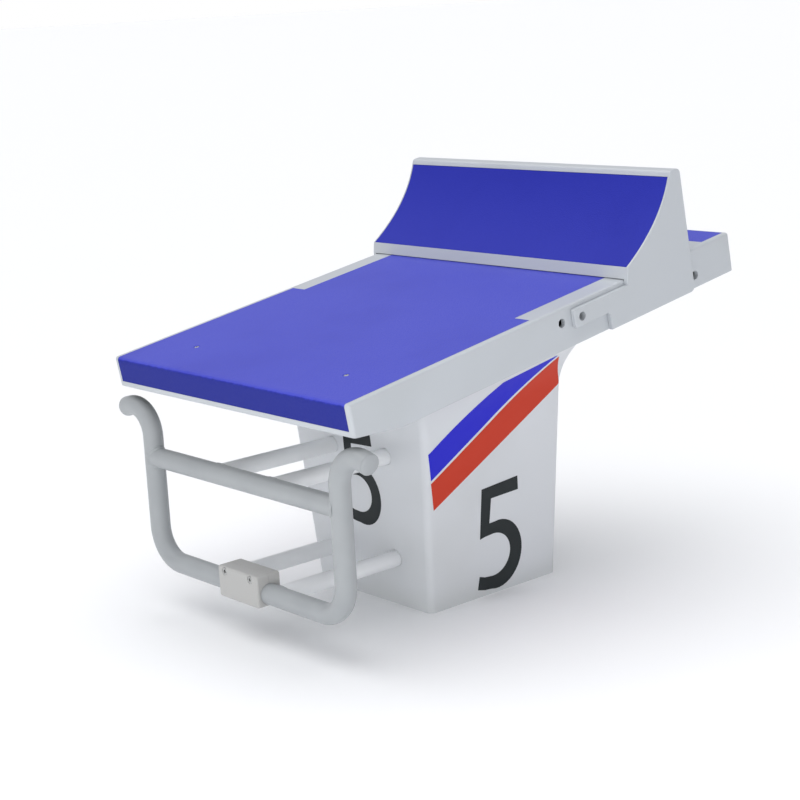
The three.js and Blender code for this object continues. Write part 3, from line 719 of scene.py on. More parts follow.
@dataclass(frozen=True)
class Moulding:
    """Moulded polymer with the fine grain of its mould, or bare laminate with that of its glass mat.

    Attributes:
        name: What the finish is.
        colour: Its colour.
        roughness: Its mean roughness.
        grain: The width of the grain, in millimetres.
        grain_depth: Its depth, in millimetres.
        swing: How much smoother and rougher it is from grain to grain.
    """

    name: str
    colour: str
    roughness: float
    grain: float = 0.9
    grain_depth: float = 0.15
    swing: Pair = (-0.08, 0.08)

    def material(self) -> bpy.types.Material:
        """Builds the node material.

        Returns:
            The material.
        """
        material, tree, place = new_material(self.name)
        grain = add_node(tree, "ShaderNodeTexNoise",
                         {"Vector": place, "Scale": per_metre(self.grain), "Detail": 3.0}).outputs["Fac"]
        dull = add_node(tree, "ShaderNodeMapRange",
                        {"Value": grain, "To Min": self.roughness + self.swing[0],
                         "To Max": self.roughness + self.swing[1]}).outputs["Result"]
        bump = add_node(tree, "ShaderNodeBump",
                        {"Height": grain, "Strength": 0.25,
                         "Distance": self.grain_depth * MM}).outputs["Normal"]
        close_material(tree, {"Base Color": linear(self.colour), "Roughness": dull, "IOR": 1.49,
                              "Normal": bump})
        return material


@dataclass(frozen=True)
class VinylFilm:
    """Cut vinyl film, which lies on the gelcoat and takes up its waviness.

    Attributes:
        name: What the finish is.
        colour: The film's colour.
        roughness: Its roughness, a little duller than gelcoat.
        wave: The width of its waves, in millimetres.
        wave_depth: Their depth, in millimetres.
        swing: How much smoother and rougher it is from wave to wave.
    """

    name: str
    colour: str
    roughness: float = 0.45
    wave: float = 14.0
    wave_depth: float = 0.3
    swing: Pair = (-0.05, 0.10)

    def material(self) -> bpy.types.Material:
        """Builds the node material.

        Returns:
            The material.
        """
        material, tree, place = new_material(self.name)
        wave = add_node(tree, "ShaderNodeTexNoise",
                        {"Vector": place, "Scale": per_metre(self.wave)}).outputs["Fac"]
        dull = add_node(tree, "ShaderNodeMapRange",
                        {"Value": wave, "To Min": self.roughness + self.swing[0],
                         "To Max": self.roughness + self.swing[1]}).outputs["Result"]
        bump = add_node(tree, "ShaderNodeBump",
                        {"Height": wave, "Strength": 0.15,
                         "Distance": self.wave_depth * MM}).outputs["Normal"]
        close_material(tree, {"Base Color": linear(self.colour), "Roughness": dull,
                              "Specular IOR Level": 0.25, "Normal": bump})
        return material


class Finishes:
    """The finishes of the block, each built once."""

    def __init__(self) -> None:
        """Builds the materials."""
        coat = {"metallic": 0.0, "patch": 60.0, "peel": 1.6, "relief": 0.12}
        zinc = {"metallic": 1.0, "patch": 7.0, "peel": 1.2, "relief": 0.10}
        drawn = {"metallic": 1.0, "patch": 3.0, "peel": 0.5, "relief": 0.03}
        self.gelcoat = Gelcoat("white gelcoat", "#d7dade", "#c6c9c9").material()
        # The tray's inside is bare laminate, darker than gelcoat; its dark grey is partly painted shade
        # inside the hollow tray.
        self.laminate = Moulding("bare glass-fibre laminate", "#6a7068", 0.62, grain=3.5).material()
        # The deck and the footrest take a greyer copy of the white gelcoat: painted shade, so that their
        # sides read as grey as the pedestal under the deck.
        self.painted_shade_gelcoat = Gelcoat("greyer white gelcoat", "#c0c5ca", "#b5babd").material()
        self.sheet = NonSlipSheet().material()
        self.apron = NonSlipSheet("unworn blue non-slip rubber", dust=0.0, shine=0.15).material()
        # The footrest's sheet is a darker blue than the deck's: partly painted shade on its face, which turns
        # forward away from the light.
        self.rest_sheet = NonSlipSheet("blue moulded rubber", "#242ca0", "#2931a6", grit=1.6, roughness=0.6,
                                       dust=0.0, shine=0.18).material()
        # One white powder coat in two copies: the bow, crossbar and welds get a grey that is partly painted
        # shade, and the supports under the deck a near white that is painted light against the deck's shadow.
        self.tube = CoatedSteel("handled white powder coat", "#9da1a4", "#a6aaac", roughness=0.40,
                                **coat).material()
        self.support = CoatedSteel("clean white powder coat", "#eaecee", "#eff1f2", roughness=0.34,
                                   **coat).material()
        self.zinc = CoatedSteel("hot-dip galvanised steel", "#8f9599", "#a9aeb1", roughness=0.46,
                                **zinc).material()
        self.stainless = CoatedSteel("stainless steel fastener", "#a8a9a8", "#b9bab8", roughness=0.28,
                                     **drawn).material()
        self.pale = Moulding("off-white moulded polymer", "#b3b3b1", 0.46).material()
        # The caps' grey follows the bow's coat, which is partly painted shade.
        self.cap = Moulding("grey moulded cap", "#a2a6a9", 0.42).material()
        self.black = Moulding("black moulded polymer", "#1c1d20", 0.42).material()
        self.blue_film = VinylFilm("blue vinyl film", "#2121c9").material()
        self.red_film = VinylFilm("red vinyl film", "#c8381e").material()
        self.black_film = VinylFilm("black vinyl film", "#202628").material()


# Sub-assemblies. Their sizes are in millimetres, and a span is measured from low to high.


@dataclass
class Deck:
    """The moulded tray, its non-slip sheet, its screws and the black plates behind its slots, which are
    painted shade.
    """

    finishes: Finishes
    width: float = 550.0
    length: float = 770.0
    wall: float = 7.0
    skirt: float = 60.5
    front: float = 46.0
    edge_radius: float = 4.0
    corner_radius: float = 5.0
    hollow_radius: float = 3.0
    foot_radius: float = 1.8
    lining_slack: float = 0.1
    rib_pitch: float = 70.0
    rib_thickness: float = 5.0
    rib_depth: float = 18.0
    sheet_thickness: float = 3.0
    side_margin: float = 9.0
    runner_margin: float = 38.0
    rear_margin: float = 5.0
    notch: Pair = (341.0, 716.0)
    apron: float = 37.5
    apron_radius: float = 6.0
    hem_radius: float = 0.7
    fold_border: float = 5.0
    fold_cuts: int = 140
    fold_grit: float = 5.0
    fold_swing: float = 1.3
    fold_level: float = 0.97
    gap: float = 0.3
    index_holes: tuple[float, ...] = (393.2, 428.2, 463.2, 498.2, 533.2)
    index_depth: float = 21.0
    index_radius: float = 6.5
    slot_ends: Pair = (491.9, 682.4)
    slot_depth: float = 41.0
    slot_radius: float = 6.5
    screw_x: float = 174.2
    screw_places: Pair = (82.0, 640.0)
    screw_sink: float = 0.3
    screw_edge: float = 0.15
    head_radius: float = 4.0
    head_span: Pair = (-2.8, -1.2)
    head_dome: Outline = ((0.3, 0.5), (0.6, 0.35), (0.9, 0.2))
    cone_radius: float = 6.4
    cone_span: Pair = (-1.5, 0.2)
    socket_radius: float = 1.5
    socket_span: Pair = (-1.3, 0.1)
    shank_radius: float = 2.6
    shank_span: Pair = (-19.5, -2.5)
    # Black plates behind the rear ends of the slots, put there as painted shade inside the hollow tray.
    shade_plate_x: float = 251.0
    shade_plate_places: Pair = (640.0, 722.0)
    shade_plate_depth: float = 58.5
    shade_plate_flange: float = 20.0
    shade_plate_thickness: float = 2.0
    shade_plate_edge: float = 0.5

    def build(self) -> None:
        """Makes the tray, the sheet, the screws and the black plates of painted shade behind the slots."""
        # The tray takes the gelcoat greyed with painted shade.
        tray = seat(self._tray(), self.finishes.painted_shade_gelcoat,
                    Seat("block", "white_gelcoat", DECK, ("deck_shell",)))
        lining = self.wall - self.lining_slack
        inside = self.width / 2 - lining
        # The faces inside the tray take the dark laminate, partly painted shade.
        dress_part(tray, self.finishes.laminate, DECK, (-inside, lining, -self.skirt),
                   (inside, self.length - lining, -lining))
        sheet = seat(self._sheet("deck_sheet", 0.0), self.finishes.sheet,
                     Seat("block", "blue_non_slip", DECK, ("deck_tread",), 40))
        # The hanging front takes the finish without dust sheen; its darker blue there is painted shade.
        dress_part(sheet, self.finishes.apron, DECK, (-inside, -self.sheet_thickness, -self.skirt),
                   (inside, self.apron_radius, -self.apron_radius / 2))
        self._screws()
        # The black plates behind the slots are painted shade.
        self._shade_plates()

    def _tray(self) -> bpy.types.Object:
        """Models the tray: a box with rounded edges, cut along its underside and hollowed from below.

        Returns:
            The closed mesh object.
        """
        half = self.width / 2
        tray = start_box("deck_tray", (-half, 0, -self.skirt), (half, self.length, 0))
        with editing(tray):
            round_picked(tray, self.corner_radius, 6,
                         lambda edge: abs(edge.verts[0].co.z - edge.verts[1].co.z) > self.front)
            round_picked(tray, self.edge_radius, 6, lambda edge: both_ends(edge, lambda co: co.z > -NEAR))
            bpy.ops.mesh.select_all(action="SELECT")
            bpy.ops.mesh.bisect(plane_co=(0, 0, -self.front),
                                plane_no=(0, -math.sin(DECK_SLOPE), -math.cos(DECK_SLOPE)),
                                clear_outer=True, use_fill=True)
        inside = half - self.wall
        hollow = start_box("hollow", (-inside, self.wall, -self.skirt - REACH),
                           (inside, self.length - self.wall, -self.wall))
        with editing(hollow):
            round_picked(hollow, self.hollow_radius, 4,
                         lambda edge: max(vert.co.z for vert in edge.verts) > -self.wall - 1)
        combine(tray, "DIFFERENCE", hollow)
        with editing(tray):
            round_picked(tray, self.foot_radius, 3, self._is_foot_edge)
        combine(tray, "UNION", *[self._rib(place * self.rib_pitch) for place in (-1, 0, 1)])
        combine(tray, "DIFFERENCE", self._sheet("recess", self.gap), *self._skirt_cuts())
        return tray

    def _is_foot_edge(self, edge: bmesh.types.BMEdge) -> bool:
        """Tells whether an edge of the tray runs round the outside or the inside of its foot.

        Args:
            edge: The edge.

        Returns:
            Whether one of its two faces looks down and the other doesn't, low on the tray.
        """
        if len(edge.link_faces) != 2:
            return False
        down = [face.normal.z < -0.5 for face in edge.link_faces]
        return down[0] != down[1] and edge.verts[0].co.z < -self.front / 2

    def _rib(self, middle: float) -> bpy.types.Object:
        """Models a rib under the tray's top.

        Args:
            middle: The X of its middle.

        Returns:
            The mesh object.
        """
        half = self.rib_thickness / 2
        return start_box("rib", (middle - half, self.wall / 2, -self.wall - self.rib_depth),
                         (middle + half, self.length - self.wall / 2, -self.wall + 1))

    def _skirt_cuts(self) -> list[bpy.types.Object]:
        """Models the tools that cut the index holes and the guide slot through both skirts.

        Returns:
            The mesh objects.
        """
        tools = []
        for side in Side:
            x = side.value * self.width / 2
            for place in self.index_holes:
                tools.append(start_rod("hole", self.index_radius, Axis.ACROSS, (x, place, -self.index_depth),
                                       REACH, HOLE))
            low, high = self.slot_ends
            slot = start_rod("slot", self.slot_radius, Axis.ACROSS, (x, low, -self.slot_depth), REACH, HOLE)
            with editing(slot):
                pick(slot, Pick.VERTS, lambda vert: vert.co.y > low - NEAR)
                bpy.ops.transform.translate(value=(0, high - low, 0))
            tools.append(slot)
        return tools

    def _sheet(self, name: str, grow: float) -> bpy.types.Object:
        """Models the non-slip sheet, or the recess that takes it.

        Args:
            name: The piece's name.
            grow: Zero for the sheet, or the gap that is left round it.

        Returns:
            The closed mesh object.
        """
        half = self.width / 2 - self.side_margin + grow
        rear = self.length - self.rear_margin + grow
        lift = REACH if grow else 0.0
        sheet = start_box(name, (-half, -lift, -self.apron - grow), (half, rear, lift))
        if grow:
            core = start_box("core", (-half - 1, self.sheet_thickness + grow, -REACH * 2),
                             (half + 1, rear + 1, -self.sheet_thickness - grow))
            with editing(core):
                round_picked(core, self.apron_radius - self.sheet_thickness, 8,
                             lambda edge: both_ends(edge, lambda co: co.z > -REACH and co.y < self.wall))
            combine(sheet, "DIFFERENCE", core)
        else:
            self._fold(sheet)
        notch_x = self.width / 2 - self.runner_margin + grow
        for side in Side:
            near, far = side.span(notch_x, half + REACH)
            notch = start_box("notch", (near, self.notch[0] + grow, -self.wall),
                              (far, self.notch[1] - grow, REACH * 2))
            combine(sheet, "DIFFERENCE", notch)
        if not grow:
            for side in Side:
                for place in self.screw_places:
                    combine(sheet, "DIFFERENCE", *self._screw_hole(side.value * self.screw_x, place))
            round_edges(sheet, self.hem_radius)
        return sheet

    def _screw_hole(self, x: float, place: float) -> tuple[bpy.types.Object, bpy.types.Object]:
        """Models the tools that cut a screw's hole in the sheet and the cone that is pressed in round it.

        Args:
            x: The screw's place across the deck.
            place: Its place back from the front.

        Returns:
            The mesh objects.
        """
        radius = self.head_radius + self.gap
        hole = stand_rod("hole", radius, (-REACH / 2, REACH / 2), x, place, HOLE)
        cone = stand_rod("cone", radius, self.cone_span, x, place, HOLE)
        with editing(cone):
            pick(cone, Pick.VERTS, lambda vert: vert.co.z > 0)
            widen = self.cone_radius / radius
            bpy.ops.transform.resize(value=(widen, widen, 1), center_override=(x, place, 0))
        return hole, cone

    def _fold(self, sheet: bpy.types.Object) -> None:
        """Opens the sheet's box into a folded skin, roughens its front fold and gives it its thickness.

        Args:
            sheet: The box that the sheet fills.
        """
        radius = self.apron_radius
        border = radius + self.fold_border
        with editing(sheet):
            round_picked(sheet, radius, 8,
                         lambda edge: both_ends(edge, lambda co: co.z > -NEAR and co.y < NEAR))
            pick(sheet, Pick.FACES, lambda face: abs(face.normal.x) > 0.5 or face.normal.z < -0.5
                 or face.normal.y > 0.5)
            bpy.ops.mesh.delete(type="FACE")
            score((0, border, 0), (0, 1, 0))
            score((0, 0, -border), (0, 0, 1))
            pick(sheet, Pick.EDGES, lambda edge: abs(edge.verts[0].co.x - edge.verts[1].co.x) > 1
                 and both_ends(edge, lambda co: co.y < border + NEAR and co.z > -border - NEAR))
            bpy.ops.mesh.subdivide(number_cuts=self.fold_cuts)
        fold = sheet.vertex_groups.new(name="fold")
        fold.add([vert.index for vert in sheet.data.vertices
                  if vert.co.y < radius + NEAR and vert.co.z > -radius - NEAR
                  and abs(vert.co.x) < self.width / 2 - self.side_margin - 1], 1.0, "REPLACE")
        grit = bpy.data.textures.new("fold grit", "CLOUDS")
        grit.noise_scale = self.fold_grit
        apply(sheet, "DISPLACE", texture=grit, texture_coords="LOCAL", strength=self.fold_swing,
              mid_level=self.fold_level, vertex_group="fold")
        apply(sheet, "SOLIDIFY", thickness=self.sheet_thickness, offset=-1, use_even_offset=True)

    def _screws(self) -> None:
        """Models one domed screw with its socket and copies it to its four places."""
        head = stand_rod("deck_screw", self.head_radius, self.head_span)
        dome(head, self.head_dome)
        socket = stand_rod("socket", self.socket_radius, self.socket_span, sides=HEXAGON)
        shank = stand_rod("shank", self.shank_radius, self.shank_span, sides=32)
        combine(head, "UNION", shank)
        combine(head, "DIFFERENCE", socket)
        round_edges(head, self.screw_edge)
        for place, word in zip(self.screw_places, ("front", "rear")):
            for side in Side:
                name = f"deck_screw_{word}_{side.word}"
                move = Matrix.Translation((side.value * self.screw_x, place, -self.screw_sink))
                seat(copy_of(head, f"{name}_head", move), self.finishes.stainless,
                     Seat("block", "stainless_fastener", DECK, (name,)))
        bpy.data.objects.remove(head)

    def _shade_plates(self) -> None:
        """Models a black folded plate under the tray's top behind the rear end of each slot, as painted
        shade.
        """
        front, rear = self.shade_plate_places
        thickness = self.shade_plate_thickness
        shade_plate = start_box("shade_plate", (self.shade_plate_x - thickness, front, -self.shade_plate_depth),
                          (self.shade_plate_x, rear, -self.wall))
        flange = start_box("flange", (self.shade_plate_x - self.shade_plate_flange, front, -self.wall - thickness),
                           (self.shade_plate_x - thickness / 2, rear, -self.wall))
        combine(shade_plate, "UNION", flange)
        round_edges(shade_plate, self.shade_plate_edge)
        for side in Side:
            piece = copy_to_side(shade_plate, f"slot_guard_{side.word}", side)
            seat(piece, self.finishes.black, Seat("block", "black_polymer", DECK))
        bpy.data.objects.remove(shade_plate)


@dataclass
class Pedestal:
    """The flared pedestal with the stripes and numbers on it."""

    finishes: Finishes
    foot: Pair = (258.0, 260.0)
    waist_width: float = 302.0
    waist_front: float = 146.0
    waist_rear: float = 135.0
    wall: float = 5.0
    corner_radius: float = 10.0
    flare_drop: float = 110.0
    flange_rise: float = 6.0
    flange_half: float = 267.5
    flare_steps: int = 22
    scores: tuple[float, ...] = (-100.0, -60.0, -20.0, 20.0, 60.0, 100.0)
    underside_front: float = 334.6
    underside_middle: float = 382.1
    support_x: float = 61.0
    support_heights: Pair = (73.5, 230.5)
    support_hole: float = 13.0
    film: float = 0.25
    film_near: float = 100.0
    stripe_far: float = 220.0
    figure_far: float = 180.0
    blue_stripe: Outline = ((-133.4, 205.3), (110.0, 349.6), (107.2, 350.0), (-2.4, 328.9), (-138.8, 246.0))
    red_stripe: Outline = ((-127.5, 159.4), (129.5, 302.6), (114.9, 347.6), (-133.3, 200.9))
    side_figure: tuple[Pair, Pair] = ((90.5, 169.0), (-36.2, 6.5))
    front_figure: tuple[Pair, Pair] = ((77.0, 145.5), (-35.5, 114.3))

    def build(self) -> None:
        """Makes the shell and the films on it."""
        skin = self._skin()
        self._films(skin)
        apply(skin, "SOLIDIFY", thickness=self.wall, offset=-1, use_even_offset=True)
        holes = [start_rod("hole", self.support_hole, Axis.BACK,
                           (side.value * self.support_x, -self.waist_front, height), REACH * 4)
                 for side in Side for height in self.support_heights]
        combine(skin, "DIFFERENCE", *holes)
        seat(skin, self.finishes.gelcoat, Seat("block", "white_gelcoat", FLOOR, ("pedestal_shell",)))

    def _underside(self, y: float) -> float:
        """Gives the height of the deck's underside over a place on the floor."""
        return max(self.underside_front, self.underside_middle + math.tan(DECK_SLOPE) * y)

    def _rings(self) -> list[tuple[float, float, float, float]]:
        """Lists the outlines that the skin goes through, along a quarter ellipse under the deck.

        Returns:
            For each, its half width, its front and rear reach, and its height. That is from the floor for
            the foot and from the deck's underside for the others.
        """
        reach = self.flange_half - self.waist_width / 2
        rings = [(self.foot[0] / 2, self.foot[1] / 2, self.foot[1] / 2, 0.0)]
        for step in range(self.flare_steps + 1):
            angle = math.pi / 2 * step / self.flare_steps
            out = reach * (1 - math.cos(angle))
            drop = self.flare_drop * (1 - math.sin(angle))
            rings.append((self.waist_width / 2 + out, self.waist_front + out, self.waist_rear + out, -drop))
        return [*rings, (*rings[-1][:3], self.flange_rise)]

    def _skin(self) -> bpy.types.Object:
        """Models the outer skin: the foot's outline, drawn up, spread ring by ring and fitted to the deck.

        Returns:
            The open mesh object.
        """
        bpy.ops.mesh.primitive_plane_add(size=1)
        bpy.context.object.scale = (*self.foot, 1)
        skin = name_new("pedestal_moulding")
        rings = self._rings()
        with editing(skin):
            bpy.ops.mesh.select_all(action="SELECT")
            bpy.ops.mesh.bevel(offset=self.corner_radius, segments=6, affect="VERTICES")
            for ring, last in zip(rings[1:], rings):
                half, front, rear, height = ring
                last_half, last_front, last_rear, last_height = last
                leaves_floor = last_height == 0 and height < 0
                rise = height - last_height + (self.underside_front if leaves_floor else 0)
                widen, deepen = half / last_half, (front + rear) / (last_front + last_rear)
                bpy.ops.mesh.extrude_region_move(TRANSFORM_OT_translate={"value": (0, 0, rise)})
                bpy.ops.transform.resize(value=(widen, deepen, 1),
                                         center_override=(0, (last_rear - last_front) / 2, 0))
                bpy.ops.transform.translate(value=(0, (rear - front - last_rear + last_front) / 2, 0))
            bpy.ops.mesh.delete(type="ONLY_FACE")
            for place in self.scores:
                score((0, place, 0), (0, 1, 0))
        for vert in skin.data.vertices:
            if vert.co.z > 1:
                vert.co.z += self._underside(vert.co.y) - self.underside_front
        return skin

    def _films(self, skin: bpy.types.Object) -> None:
        """Models the stripes and numbers as thin films that follow the skin.

        Args:
            skin: The open outer skin of the pedestal.
        """
        near, far = self.film_near, self.figure_far
        stripes = (("blue", self.finishes.blue_film, self.blue_stripe),
                   ("red", self.finishes.red_film, self.red_stripe))
        figure = self._figure(*self.side_figure)
        for side in Side:
            for word, material, outline in stripes:
                prism = start_profile("prism", outline, *side.span(near, self.stripe_far))
                self._film(skin, f"stripe_{word}_{side.word}", prism, material)
            prism = start_profile("prism", [(side.value * u, v) for u, v in figure], *side.span(near, far))
            self._film(skin, f"number_{side.word}", prism, self.finishes.black_film)
        prism = start_profile("prism", self._figure(*self.front_figure), near, far)
        prism.data.transform(Matrix.Rotation(-math.pi / 2, 4, "Z"))
        self._film(skin, "number_front", prism, self.finishes.black_film)

    def _film(self, skin: bpy.types.Object, name: str, prism: bpy.types.Object, material: bpy.types.Material
              ) -> None:
        """Trims a thin layer over the skin with a prism and leaves it as a film.

        Args:
            skin: The open outer skin of the pedestal.
            name: The film's name.
            prism: The film's outline, drawn out through the skin.
            material: The film's finish.
        """
        film = copy_of(skin, name)
        apply(film, "SOLIDIFY", thickness=self.film, offset=1, use_even_offset=True)
        combine(film, "INTERSECT", prism)
        seat(film, material, Seat("block", "white_gelcoat", FLOOR))

    @staticmethod
    def _figure(size: Pair, corner: Pair) -> list[Pair]:
        """Draws a plain 5: a top bar, a stem and a bowl with a flat end.

        Args:
            size: The figure's width and height.
            corner: The place of its lower left corner.

        Returns:
            Its outline as (across, up).
        """
        shares = [(0.048, 0.966), (0.868, 1.000), (0.888, 0.872), (0.266, 0.860), (0.236, 0.632)]
        shares += arc((0.452, 0.319), (0.548, 0.321), 100, -105, 22)
        shares += [(0.161, 0.016), (0.0, 0.037), (0.034, 0.159), (0.156, 0.138)]
        shares += arc((0.341, 0.328), (0.389, 0.199), -100, 100, 22)
        shares += [(0.142, 0.519), (0.029, 0.506)]
        return [(u * size[0] + corner[0], v * size[1] + corner[1]) for u, v in shares]


@dataclass
class Footrest:
    """The sliding footrest: its wedge with both side plates, its sheet and its lock buttons."""

    finishes: Finishes
    front: float = 528.4
    depth: float = 142.0
    height: float = 128.4
    wall: float = 5.0
    lift: float = 1.2
    gap: float = 0.3
    lip_height: float = 18.0
    lip_lean: float = 4.8
    crown_fall: float = 7.5
    crown_depth: float = 24.9
    crown_radius: float = 8.0
    crown_line: Outline = ((1.95, -3.7), (3.2, -1.7), (4.9, -0.45), (7.2, 0.0))
    curve_depth: float = 88.6
    curve_rise: float = 60.0
    curve_steps: int = 40
    ledge_width: float = 34.0
    ledge_top: float = 8.6
    glide_margin: float = 11.7
    glide_top: float = 3.0
    plate: Pair = (275.4, 282.4)
    plate_lap: float = 3.0
    plate_edge: float = 1.6
    plate_depth: float = 60.5
    plate_front: float = 485.2
    plate_slant: float = 1.0
    plate_top: float = -7.3
    plate_corner: float = 9.0
    plate_notch: float = 3.0
    tongue_front: float = 413.0
    tongue_depth: float = 34.5
    tongue_corner: float = 2.0
    sheet_thickness: float = 3.0
    sheet_margin: float = 3.5
    sheet_edge: float = 0.7
    lock_place: Pair = (428.2, -21.0)
    hole_radius: float = 6.5
    bolt_places: Pair = (526.9, 577.4)
    bolt_depth: float = 41.0
    bolt_radius: float = 6.6
    bolt_inset: float = 3.0
    bolt_length: float = 15.6
    button_radius: float = 6.2
    button_nose: float = 1.2
    collar_radius: float = 7.7
    collar_length: float = 5.0
    bore_radius: float = 4.0
    bore_depth: float = 17.0

    def build(self) -> None:
        """Makes the shell, the sheet and the buttons."""
        # The footrest's shell takes the gelcoat greyed with painted shade.
        seat(self._shell(), self.finishes.painted_shade_gelcoat,
             Seat("footrest", "white_gelcoat", DECK, ("footrest_shell",)))
        sheet = self._sheet("footrest_sheet", 0.0)
        round_edges(sheet, self.sheet_edge)
        seat(sheet, self.finishes.rest_sheet, Seat("footrest", "blue_non_slip", DECK, ("footrest_tread",)))
        self._buttons()

    @property
    def rear(self) -> float:
        """The place of the footrest's rear face."""
        return self.front + self.depth

    def _curve(self, sink: float) -> list[Pair]:
        """Draws the hollow front face from the lip to the crown.

        Args:
            sink: How far below the surface it is drawn.

        Returns:
            Its points as (back, up).
        """
        lip = Vector((self.front + self.lip_lean, self.lip_height))
        bend = Vector((self.front + self.curve_depth, self.curve_rise))
        crown = Vector((self.rear - self.crown_depth, self.height - self.crown_fall))
        points = []
        for step in range(self.curve_steps + 1):
            t = step / self.curve_steps
            point = lip * (1 - t) ** 2 + bend * 2 * t * (1 - t) + crown * t ** 2
            along = ((bend - lip) * (1 - t) + (crown - bend) * t).normalized()
            points.append((point.x + sink * along.y, point.y - sink * along.x))
        return points

    def _back(self) -> list[Pair]:
        """Draws the crown and its rounded rear corner.

        Returns:
            Its points as (back, up), from front to rear.
        """
        radius = self.crown_radius
        crown = [(self.rear - self.crown_depth + back, self.height + up) for back, up in self.crown_line]
        return [*crown, *arc((self.rear - radius, self.height - radius), (radius, radius), 90, 0, 6)]

    def _shell(self) -> bpy.types.Object:
        """Models the wedge, hollows it from below and adds the side plates.

        Returns:
            The closed mesh object.
        """
        inner, outer = self.plate
        ledge = inner - self.ledge_width
        outline = [(self.front, self.lift), *self._curve(0.0), *self._back(), (self.rear, self.lift)]
        wedge = start_profile("footrest_moulding", outline, self.plate_lap - outer, outer - self.plate_lap)
        hollow = start_profile("hollow", self._hollow_line(self.ledge_top), -inner, inner)
        mouth = start_profile("mouth", self._hollow_line(-REACH), -ledge, ledge)
        glides = []
        for side in Side:
            near, far = side.span(ledge, inner)
            glides.append(start_box("glide", (near, self.front + self.glide_margin, -REACH),
                                    (far, self.rear - self.glide_margin, self.glide_top)))
        combine(wedge, "DIFFERENCE", hollow, mouth, *glides)
        for side in Side:
            combine(wedge, "UNION", self._plate(side))
        return combine(wedge, "DIFFERENCE", self._sheet("recess", self.gap))

    def _hollow_line(self, foot: float) -> list[Pair]:
        """Draws the space inside the wedge, under the wall of its face and crown.

        Args:
            foot: The height where it starts.

        Returns:
            Its points as (back, up).
        """
        front = self.front + self.wall + self.sheet_thickness
        roof = self.height - self.wall
        rear = self.rear - self.wall
        curve = [(back, up) for back, up in self._curve(self.sheet_thickness + self.wall)
                 if front < back < rear and foot < up < roof]
        return [(front, foot), (front, curve[0][1]), *curve, (curve[-1][0], roof), (rear, roof),
                (rear, foot)]

    def _plate(self, side: Side) -> bpy.types.Object:
        """Models one side plate: the wedge's outline above, the cheek and its tongue outside the skirt.

        Args:
            side: The plate's side.

        Returns:
            The closed mesh object.
        """
        inner, outer = self.plate
        radius = self.plate_corner
        slant = self.plate_front - self.plate_slant
        cut = self.tongue_corner
        outline = [
            (self.front, self.plate_top), (self.front, self.lift), *self._curve(0.0), *self._back(),
            *arc((self.rear - radius, radius - self.plate_depth), (radius, radius), 0, -90, 6),
            (self.plate_front, -self.plate_depth),
            (slant, -self.tongue_depth - self.plate_notch), (slant - self.plate_notch, -self.tongue_depth),
            (self.tongue_front + cut, -self.tongue_depth), (self.tongue_front, cut - self.tongue_depth),
            (self.tongue_front, self.plate_top - cut), (self.tongue_front + cut, self.plate_top),
        ]
        plate = start_profile("plate", outline, *side.span(inner, outer))
        with editing(plate):
            round_picked(plate, self.plate_edge, 4,
                         lambda edge: both_ends(edge, lambda co: abs(co.x) > outer - NEAR))
        lock = start_rod("lock", self.hole_radius, Axis.ACROSS, (side.value * inner, *self.lock_place),
                         REACH, HOLE)
        bolts = [start_rod("bolt", self.bolt_radius, Axis.ACROSS,
                           (side.value * (inner - self.bolt_inset), place, -self.bolt_depth),
                           self.bolt_length, HOLE) for place in self.bolt_places]
        return combine(plate, "DIFFERENCE", lock, *bolts)

    def _sheet(self, name: str, grow: float) -> bpy.types.Object:
        """Models the sheet on the hollow face, or the recess that takes it.

        Args:
            name: The piece's name.
            grow: Zero for the sheet, or the gap that is left round it.

        Returns:
            The closed mesh object.
        """
        face = self._curve(-REACH if grow else 0.0)
        back = self._curve(self.sheet_thickness + grow)
        trim = 0.0 if grow else self.gap
        for line in (face, back):
            line[0] = (line[0][0] + trim, line[0][1] + trim / 2)
            line[-1] = (line[-1][0] - trim / 2, line[-1][1] - trim)
        half = self.plate[1] - self.sheet_margin + grow
        return start_profile(name, [*face, *reversed(back)], -half, half)

    def _buttons(self) -> None:
        """Models the spring button of each lock, with its rounded nose, its collar and its spring bore."""
        for side in Side:
            low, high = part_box(f"lock_button_{side.word}")
            tip = max(abs(low.x), abs(high.x)) / MM
            back = min(abs(low.x), abs(high.x)) / MM
            pin = start_rod("pin", self.button_radius, Axis.ACROSS, ((tip + back) / 2, *self.lock_place),
                            tip - back)
            with editing(pin):
                round_picked(pin, self.button_nose, 4,
                             lambda edge: both_ends(edge, lambda co: co.x > tip - NEAR))
            collar = start_rod("collar", self.collar_radius, Axis.ACROSS,
                               (back + self.collar_length / 2, *self.lock_place), self.collar_length)
            bore = start_rod("bore", self.bore_radius, Axis.ACROSS,
                             (back + self.bore_depth / 2 - 1, *self.lock_place), self.bore_depth + 2, 32)
            combine(pin, "UNION", collar)
            combine(pin, "DIFFERENCE", bore)
            piece = copy_to_side(pin, f"lock_pin_{side.word}", side)
            bpy.data.objects.remove(pin)
            seat(piece, self.finishes.black,
                 Seat(f"lock_{side.word}", "black_polymer", DECK, (f"lock_button_{side.word}",)))


